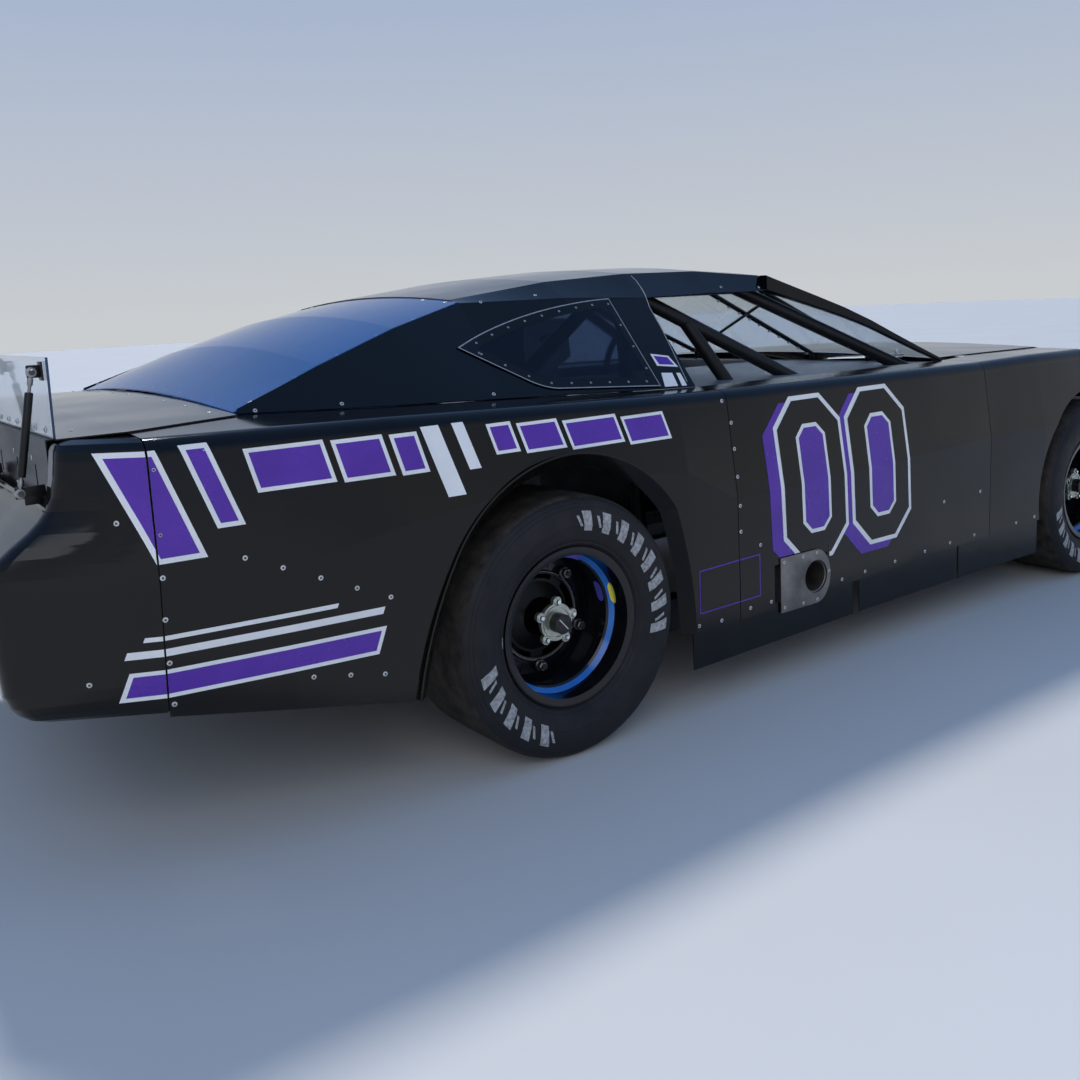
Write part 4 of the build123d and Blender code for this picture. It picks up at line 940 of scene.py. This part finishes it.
def disc_pressing(wheel):
    mesh = bmesh.new()
    wheel_ring(mesh, wheel, DISC_EDGE, 0)
    wheel_ring(mesh, wheel, DISC_EDGE_HIGHLIGHT, 1)
    for step in range(LUGS):
        middle = LUG_START + (step + 0.5) * tau / LUGS
        for low, high in FRAME_RADII:
            rows = ((FRAME_FOOT, low), (FRAME_TOP, low + FRAME_EASE))
            rows += ((FRAME_TOP, high - FRAME_EASE), (FRAME_FOOT, high))
            wheel_ring(mesh, wheel, rows, 0, middle - FRAME_HALF_TURN, 2 * FRAME_HALF_TURN, 16)
        for end in (-FRAME_HALF_TURN, FRAME_HALF_TURN):
            start = middle + end - FRAME_END_TURN / 2
            wheel_ring(mesh, wheel, FRAME_END, 0, start, FRAME_END_TURN, 3)
    wheel_piece(mesh, wheel, "disc_pressing", "rim_black steel")


# Lug nuts on the disc, bolts on the star's lobes, and the slotted cap
STEEL, CHROME, STAR, DARK = range(4)
LUG_STACK = (
    (0.0, ((0.0165, 0.0), (0.0165, 0.0035), (0.0145, 0.006)), 24, DARK, STEEL),
    (0.005, ((0.0135, 0.0), (0.0135, 0.0125), (0.0115, 0.0145)), 6, DARK, STEEL),
    (0.018, ((0.0078, 0.0), (0.0078, 0.007), (0.0062, 0.009)), 16, DARK, DARK),
)
STAR_STACK = (
    (0.0, ((0.0098, 0.0), (0.0098, 0.0018), (0.0088, 0.0024)), 20, STAR, STAR),
    (0.0022, ((0.0068, 0.0), (0.0068, 0.0055), (0.0058, 0.0068)), 6, CHROME, CHROME),
)
DISC_OUT, STAR_OUT, CAP_OUT = -0.009, 0.066, 0.0974
CAP_RING = ((0.0661, 0.044), (0.0688, 0.043), (0.0688, 0.04), (0.0661, 0.039))
CAP_DISH = ((0.0964, 0.003), (0.0972, 0.02), (0.0962, 0.0245), (0.095, 0.0262))
SLOT_WAY = Vector((cos(2.3), 0, sin(2.3)))
SLOT_HALF_LENGTH, SLOT_HALF_WIDTH = 0.02, 0.0016


def hub_hardware(wheel):
    mesh = bmesh.new()
    way = Vector((0, wheel.side, 0))
    for step in range(LUGS):
        on = step * tau / LUGS
        fasten(mesh, spot(wheel, DISC_OUT, LUG_CIRCLE_R, LUG_START + on), way, LUG_STACK)
        fasten(mesh, spot(wheel, STAR_OUT, STAR_CIRCLE_R, STAR_START + on), way, STAR_STACK)
    wheel_ring(mesh, wheel, CAP_RING, STAR, steps=48)
    wheel_ring(mesh, wheel, CAP_DISH, DARK, steps=48)
    middle = spot(wheel, CAP_OUT, 0.0, 0.0)
    along, across = SLOT_WAY * SLOT_HALF_LENGTH, way.cross(SLOT_WAY) * SLOT_HALF_WIDTH
    sheet(mesh, [(middle - along + edge, middle + along + edge) for edge in (-across, across)], STAR)
    finishes = "steel chrome star_metal hub_dark"
    wheel_piece(mesh, wheel, "hub_hardware", finishes)


for wheel in WHEELS:
    made = tyre_skin(wheel)
    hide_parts(f"tyre_{wheel.label}")
    rim_bands(wheel)
    disc_pressing(wheel)
    hub_hardware(wheel)


# Rear window: two pale braces under the pane; edge bands on it and on the windshield
def pane_row(tree, start, end, lift):
    """Row of points along a sheet between two places."""
    row = []
    for place in between(Vector(start), Vector(end), 24):
        at, normal = tree.find_nearest(car(*place))[:2]
        row.append(at + outward(at, normal) * lift)
    return row


BRACE_Y, BRACE_HALF, BRACE_TAPER = 0.215, 0.011, 0.82
BRACE_LIFT, BAND_LIFT = -0.009, 0.0006
mesh = bmesh.new()
for y in (-BRACE_Y, BRACE_Y):
    rows = []
    for off in (-BRACE_HALF, BRACE_HALF):
        start, end = (-0.725, y + off, 0.98), (-0.04, y * BRACE_TAPER + off, 1.2)
        rows.append(pane_row(REAR_PANE, start, end, BRACE_LIFT))
    sheet(mesh, rows)
piece(mesh, "rear_window_braces", "aluminium")

EDGE_BANDS = (
    (REAR_PANE, (-0.733, 0.704, 0.955), (-0.03, 0.546, 1.178), 0.01),
    (SCREEN, (1.2, 0.517, 1.217), (1.88, 0.746, 0.9), 0.03),
)
mesh = bmesh.new()
for tree, start, end, wide in EDGE_BANDS:
    for side in (-1, 1):
        rows = []
        for inset in (0.0, wide):
            ends = ((dx, (y - inset) * side, z) for dx, y, z in (start, end))
            rows.append(pane_row(tree, *ends, BAND_LIFT))
        sheet(mesh, rows)
piece(mesh, "window_edge_bands", "pad_black")

# Spoiler: clear blade with dark cut edges, its rivets and the bracket's
BLADE_REAR, BLADE_FRONT = -1.1312, -1.1262
BLADE_FOOT, BLADE_TOP = 0.9415, 1.106
BLADE_LEAN = 0.003
BLADE_YS = (-0.765, -0.25, 0.25, 0.765)
CLEAR, EDGE = 0, 1
mesh = bmesh.new()
rows = []
for dx in (BLADE_REAR, BLADE_FRONT):
    for z, shift in ((BLADE_FOOT, 0.0), (BLADE_TOP, BLADE_LEAN)):
        rows.append([mesh.verts.new(car(dx + shift, y, z)) for y in BLADE_YS])
rear_foot, rear_top, front_foot, front_top = rows
for low, high, material in (
    (rear_foot, rear_top, CLEAR),
    (front_top, front_foot, CLEAR),
    (rear_top, front_top, EDGE),
    (front_foot, rear_foot, EDGE),
):
    for step in range(3):
        facet(mesh, (low[step], low[step + 1], high[step + 1], high[step]), material)
for end in (0, -1):
    facet(mesh, (rear_foot[end], rear_top[end], front_top[end], front_foot[end]), EDGE)
made = piece(mesh, "spoiler_blade", "blade_clear blade_edge", smooth=False)
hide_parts("spoiler")

BLADE_RIVET_Z = 0.958
BRACKET_REAR = -1.1443
BRACKET_RIVET_YS = (-0.59, -0.39, -0.19, 0.25, 0.45, 0.65)
BRACKET_RIVET_ZS = (0.818, 0.892)
mesh = bmesh.new()
for step in range(15):
    rivet(mesh, car(BLADE_REAR - 0.0004, -0.7 + step * 0.1, BLADE_RIVET_Z), AFT, 1.2)
for y in BRACKET_RIVET_YS:
    for z in BRACKET_RIVET_ZS:
        rivet(mesh, car(BRACKET_REAR, y, z), AFT)
piece(mesh, "spoiler_rivets", "washer_pale rivet_dark")

# Spoiler struts: rod and barrel between two eyes, with a bracket at each end
STRUT_YS = (-0.738, -0.25, 0.25, 0.738)
STRUT_BRACKETS = (
    ((BLADE_REAR - 0.028, 0.005, 1.066), (BLADE_REAR, 0.011, 1.092), 0.002),
    ((BLADE_REAR - 0.004, -0.012, 1.06), (BLADE_REAR - 0.0002, 0.018, 1.098), 0.001),
    ((-1.208, 0.005, 0.826), (-1.15, 0.011, 0.85), 0.002),
    ((-1.192, 0.004, 0.812), (-1.158, 0.01, 0.83), 0.001),
)
EYE = ((0.005, 0.0), (0.0098, 0.001), (0.0098, 0.01), (0.005, 0.012))
EYE_NUT = ((0.0062, 0.0), (0.0062, 0.005), (0.0052, 0.0064))
LOCK_NUT = ((0.0054, 0.0), (0.0058, 0.002), (0.0058, 0.012), (0.0048, 0.015))
STRUT_BARREL = ((0.004, 0.0), (0.0076, 0.001), (0.0082, 0.004))
STRUT_BARREL += ((0.0082, 0.168), (0.0076, 0.171), (0.004, 0.172))
EYE_OFF, NUT_OFF = 0.0065, 0.0062
ROD_INSET, BARREL_AT = 0.007, 0.04
LOCK_NUT_AT, LOCK_NUT_END = 0.012, 0.028
BLACK_PART, STEEL_PART, DARK_PART = range(3)
mesh = bmesh.new()
for y in STRUT_YS:
    top = car(-1.152, y, 1.078)
    foot = car(-1.2, y, 0.838)
    way = (foot - top).normalized()
    length = (foot - top).length
    for low, high, bevel in STRUT_BRACKETS:
        block(mesh, car(*low) + y * TO_LEFT, car(*high) + y * TO_LEFT, bevel)
    for at in (top, foot):
        turn(mesh, at + TO_RIGHT * EYE_OFF, TO_LEFT, EYE, 24, STEEL_PART)
        turn(mesh, at + TO_RIGHT * NUT_OFF, TO_RIGHT, EYE_NUT, 6, DARK_PART)
    rod = ((0.0036, 0), (0.0034, length - 2 * ROD_INSET))
    turn(mesh, top + way * ROD_INSET, way, rod, 16, STEEL_PART)
    for start in (LOCK_NUT_AT, length - LOCK_NUT_END):
        turn(mesh, top + way * start, way, LOCK_NUT, 12, STEEL_PART)
    turn(mesh, top + way * BARREL_AT, way, STRUT_BARREL, 28, BLACK_PART)
made = piece(mesh, "strut_units", "frame_black steel rivet_dark")
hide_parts("spoiler_struts")

# Exhaust outlet: plate with a rounded end about the hole, its rivets and the pipe's mouth
MOUTH = car(0.928, -0.972, 0.302)
PLATE_OUT, PLATE_IN = -0.9795, -0.9752
PLATE_EASE = 0.0006
PLATE_BACK, PLATE_ROUND, PLATE_HALF = 0.158, 0.066, 0.084
HOLE_R = 0.0505
# Loops over the plate: share of the way from the hole's edge to the plate's, and place across it
PLATE_LOOPS = (
    (0.0, PLATE_IN), (0.0, PLATE_OUT + PLATE_EASE), (0.02, PLATE_OUT), (0.5, PLATE_OUT),
    (0.99, PLATE_OUT), (1.0, PLATE_OUT + PLATE_EASE), (1.0, PLATE_IN), (0.5, PLATE_IN),
    (0.0, PLATE_IN),
)
PLATE_RIVETS = ((-0.143, 0.069), (-0.143, -0.069), (-0.06, 0.072), (-0.06, -0.072))
PLATE_RIVETS += ((0.004, 0.073), (0.004, -0.073), (0.059, 0.006))
PIPE_LIP = ((0.05, -0.004), (0.0512, 0.0), (0.0495, 0.0018), (0.0472, 0.0), (0.0468, -0.01))
corner_turn = atan2(PLATE_HALF, PLATE_BACK)
turns = sorted([tau * k / 96 for k in range(96)] + [pi - corner_turn, pi + corner_turn])


def plate_row(share, y):
    """Closed loop of points on the plate."""
    row = []
    for angle in turns + turns[:1]:
        across, rise = cos(angle), sin(angle)
        if across > 0:
            reach = 1 / hypot(across / PLATE_ROUND, rise / PLATE_HALF)
        else:
            flat = PLATE_HALF / abs(rise) if abs(rise) > 0.01 else 1.0
            reach = min(flat, PLATE_BACK / max(-across, 0.01))
        length = HOLE_R + (reach - HOLE_R) * share
        row.append(Vector((MOUTH.x + length * across, y, MOUTH.z + length * rise)))
    return row


mesh = bmesh.new()
sheet(mesh, [plate_row(share, y) for share, y in PLATE_LOOPS])
bmesh.ops.remove_doubles(mesh, verts=mesh.verts, dist=0.00002)
made = piece(mesh, "outlet_plate", "plate_metal")
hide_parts("exhaust_plate")

mesh = bmesh.new()
for across, rise in PLATE_RIVETS:
    rivet(mesh, Vector((MOUTH.x + across, PLATE_OUT, MOUTH.z + rise)), TO_RIGHT, 0.9)
turn(mesh, MOUTH, TO_RIGHT, PIPE_LIP, 48, 2, closed=False)
piece(mesh, "outlet_trim", "washer_pale rivet_dark exhaust_finish")

# Driver's seat: padded base, back and head pads, harness
PAD_STEPS = 14
PAD_PULL = 0.045
CHANNEL_DEPTH, CHANNELS = 0.006, 3.0


def pad_place(i, j, face, size, crown):
    """Place in a pad's grid, on its upper (1) or lower (-1) face."""
    long, wide, thick = size
    u, v = 2 * i / PAD_STEPS - 1, 2 * j / PAD_STEPS - 1
    rise = (1 - u**4) * (1 - v**4)
    pull = 1 - PAD_PULL * (1 - abs(u)) * abs(v) - PAD_PULL * (1 - abs(v)) * abs(u)
    z = face * (thick / 2 * (0.35 + 0.65 * rise) + crown * rise)
    if face > 0:
        z -= CHANNEL_DEPTH * exp(-((v * CHANNELS - round(v * CHANNELS)) ** 2) / 0.004) * rise
    return (u * long / 2 * pull, v * wide / 2 * pull, z)


def pad(name, centre, size, lean, crown, material, fill):
    """Crowned closed cushion whose sides pull in between its corners."""
    mesh = bmesh.new()
    count = range(PAD_STEPS + 1)
    grids = []
    for face in (1, -1):
        grid = [[mesh.verts.new(pad_place(i, j, face, size, crown)) for j in count] for i in count]
        for one, two in zip(grid, grid[1:]):
            for j in range(PAD_STEPS):
                facet(mesh, (one[j], two[j], two[j + 1], one[j + 1]))
        grids.append(grid)
    top, low = grids
    edge = [(i, 0) for i in range(PAD_STEPS)] + [(PAD_STEPS, j) for j in range(PAD_STEPS)]
    edge += [(PAD_STEPS - i, PAD_STEPS - j) for i, j in edge]
    for (i, j), (k, m) in zip(edge, edge[1:] + edge[:1]):
        facet(mesh, (top[i][j], top[k][m], low[k][m], low[i][j]))
    place = Matrix.Translation(centre) @ Matrix.Rotation(radians(lean), 4, "Y")
    bmesh.ops.transform(mesh, matrix=place, verts=mesh.verts)
    made = piece(mesh, name, material)
    rounder = made.modifiers.new("rounder", "SUBSURF")
    rounder.levels = rounder.render_levels = 1


# Pads: name, (dx, y off the seat's middle, z), (length, width, thickness), lean, crown, material, fill
PADS = (
    ("seat_base_pad", (0.955, 0.0, 0.29), (0.36, 0.335, 0.034), -3.4, 0.008, "pad_black", 0.7),
    ("seat_back_pad", (0.742, 0.0, 0.64), (0.52, 0.33, 0.03), -83.5, 0.008, "pad_black", 0.7),
    ("head_pad", (0.7, 0.0, 1.05), (0.16, 0.25, 0.036), -90.0, 0.008, "pad_black", 0.8),
    ("head_side_right", (0.775, -0.172, 1.035), (0.11, 0.11, 0.03), 0.0, 0.004, "pad_blue", 0.8),
)
for name, (dx, off, z), *rest in PADS:
    pad(name, car(dx, SEAT_Y + off, z), *rest)


def web(mesh, points, half, lift):
    """Flat webbing through places (dx, y off the seat's middle, z), bowed between them."""
    path = [car(dx, SEAT_Y + off, z) for dx, off, z in points]
    middle = []
    for start, end in zip(path, path[1:]):
        for step in range(6):
            share = step / 6
            middle.append(start.lerp(end, share) + Vector((0, 0, lift * sin(pi * share))))
    middle.append(path[-1])
    sheet(mesh, [[at + way * half for at in middle] for way in (TO_RIGHT, TO_LEFT)])


BUCKLE = ((0.034, 0.0), (0.036, 0.004), (0.034, 0.012), (0.02, 0.015), (0.018, 0.019))
mesh = bmesh.new()
for off in (-0.085, 0.085):
    shoulder = ((0.66, off, 0.965), (0.72, off, 0.945), (0.775, off * 0.8, 0.86))
    chest = ((0.8, off * 0.6, 0.6), (0.86, off * 0.25, 0.375))
    web(mesh, shoulder + chest, 0.025, 0.004)
for side in (-1, 1):
    lap = ((0.8, side * 0.15, 0.33), (0.84, side * 0.09, 0.365), (0.872, side * 0.03, 0.378))
    web(mesh, lap, 0.022, 0.003)
made = piece(mesh, "harness", "web_blue")
thick = made.modifiers.new("thick", "SOLIDIFY")
thick.thickness = 0.0025
mesh = bmesh.new()
turn(mesh, car(0.876, SEAT_Y, 0.38), Vector((0.55, 0, 0.83)), BUCKLE, 32)
piece(mesh, "harness_buckle", "chrome")

# Foam sleeves on the cage bars near the driver, held by ties: ends and material
SLEEVES = (
    ((0.56, 0.25, 1.186), (0.56, 0.44, 1.186), 0),
    ((0.7, 0.5, 1.179), (1.0, 0.484, 1.179), 0),
    ((0.545, -0.16, 1.186), (0.545, -0.02, 1.186), 1),
)
SLEEVE_R, SLEEVE_END_R, SLEEVE_EASE = 0.036, 0.026, 0.006
SLEEVE_TIES = (0.2, 0.5, 0.8)
TIE_ROWS = ((0.037, -0.01), (0.033, -0.003), (0.033, 0.003), (0.037, 0.01))
mesh = bmesh.new()
for start, end, material in SLEEVES:
    low, high = car(*start), car(*end)
    length = (high - low).length
    rows = [(SLEEVE_END_R, 0.0), (SLEEVE_R, SLEEVE_EASE)]
    for share in SLEEVE_TIES:
        rows += [(radius, length * share + off) for radius, off in TIE_ROWS]
    rows += [(SLEEVE_R, length - SLEEVE_EASE), (SLEEVE_END_R, length)]
    turn(mesh, low, high - low, rows, 20, material, closed=False)
piece(mesh, "bar_sleeves", "pad_black pad_blue")

# Bolts along the windshield braces, from (dx, z) to (dx, z), and rivet rows on the cabin deck
INNER_BRACE = ((1.196, 1.216), (1.858, 0.912))
OUTER_BRACE = ((1.196, 1.202), (1.85, 0.917))
BRACES = ((-0.465, OUTER_BRACE), (-0.19, INNER_BRACE), (0.19, INNER_BRACE), (0.465, OUTER_BRACE))
BRACE_BOLT = ((0.006, 0), (0.006, 0.004), (0.004, 0.006))
BOLT_WAY = Vector((-0.4, 0, -0.9))
BRACE_BOLTS, BOLT_DROP = 12, 0.0088
mesh = bmesh.new()
for y, ends in BRACES:
    start, end = (car(dx, y, z) for dx, z in ends)
    for step in range(BRACE_BOLTS):
        at = start.lerp(end, (step + 0.5) / BRACE_BOLTS) + DOWN * BOLT_DROP
        turn(mesh, at, BOLT_WAY, BRACE_BOLT, 6)
DECK_RAY_Z, DECK_MIN_Z = 0.96, 0.85
deck_places = [(dx, -0.84 + step * 0.14) for dx in (0.56, 0.62, 1.85) for step in range(13)]
deck_places += [(0.64 + step * 0.078, -0.4) for step in range(16)]
for dx, y in deck_places:
    at = TIN.ray_cast(car(dx, y, DECK_RAY_Z), DOWN)[0]
    if at is not None and at.z > DECK_MIN_Z:
        rivet(mesh, at, SKYWARD, 0.85)
piece(mesh, "cabin_rivets", "washer_pale rivet_dark")

# Hood pins, each with its plate, post and cross pin
PIN_PLACES = ((2.97, 0.46), (2.97, -0.46), (1.96, 0.52), (1.96, -0.52))
PIN_STACK = (
    (0.0, ((0.026, 0.0), (0.026, 0.0015), (0.011, 0.002)), 28, 0, 0),
    (0.0, ((0.0065, 0.0), (0.0065, 0.02), (0.0045, 0.024)), 16, 1, 1),
)
PIN_ENDS = (Vector((-0.022, 0, 0.012)), Vector((0.022, 0, 0.012)))
mesh = bmesh.new()
for dx, y in PIN_PLACES:
    at, _ = above(dx, y)
    fasten(mesh, at, SKYWARD, PIN_STACK)
    rail(mesh, [at + end for end in PIN_ENDS], 0.0018, 8, 1)
piece(mesh, "hood_pins", "aluminium chrome")

# Grille screen of upright and level wires
SCREEN_DX = 3.692
WIRE_R = 0.0016
mesh = bmesh.new()
for step in range(35):
    y = -0.335 + step * 0.0197
    rail(mesh, [car(SCREEN_DX, y, z) for z in (0.2, 0.336)], WIRE_R, 6)
for step in range(8):
    z = 0.206 + step * 0.0178
    rail(mesh, [car(SCREEN_DX + 0.002, y, z) for y in (-0.345, 0.345)], WIRE_R, 6)
piece(mesh, "grille_screen", "mesh_dark")

# Floor, lamps and world
FLOOR_STOPS = ((0.2, (0.6, 0.58, 0.545)), (0.8, (0.65, 0.63, 0.595)))
floor_shader = Shader("floor", Roughness=0.75)
floor_shader.colour(floor_shader.noise(0.6), FLOOR_STOPS)
bpy.ops.mesh.primitive_plane_add(size=120.0)
floor = bpy.context.object
floor.name = "floor"
floor.data.materials.append(floor_shader.material)
floor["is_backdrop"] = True


def lamp(name, kind, way, power, **settings):
    """Lamp that shines one way."""
    data = bpy.data.lights.new(name, kind)
    data.energy = power
    for label, value in settings.items():
        setattr(data, label, value)
    made = bpy.data.objects.new(name, data)
    made.rotation_euler = way.to_track_quat("-Z", "Y").to_euler()
    bpy.context.scene.collection.objects.link(made)
    return made


FILL_AT, FILL_AIM = Vector((-5.0, -6.0, 4.5)), Vector((0, 0, 0.5))
fill = lamp("fill", "AREA", FILL_AIM - FILL_AT, 120.0, shape="RECTANGLE", size=6, size_y=4)
fill.location = FILL_AT
lamp("sun", "SUN", Vector((-0.25, -0.75, -1.0)), 2.3, angle=radians(9))

SKY_STOPS = ((0.0, (0.84, 0.87, 0.9)), (0.55, (0.24, 0.44, 0.86)))
world = bpy.data.worlds.new("world")
world.use_nodes = True
tree = world.node_tree
place = tree.nodes.new("ShaderNodeTexCoord")
height = tree.nodes.new("ShaderNodeSeparateXYZ")
sky = tree.nodes.new("ShaderNodeValToRGB")
for element, (share, colour) in zip(sky.color_ramp.elements, SKY_STOPS):
    element.position = share
    element.color = (*colour, 1)
tree.links.new(place.outputs["Generated"], height.inputs["Vector"])
tree.links.new(height.outputs["Z"], sky.inputs["Fac"])
tree.links.new(sky.outputs["Color"], tree.nodes["Background"].inputs["Color"])
tree.nodes["Background"].inputs["Strength"].default_value = 0.7
bpy.context.scene.world = world

low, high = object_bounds()
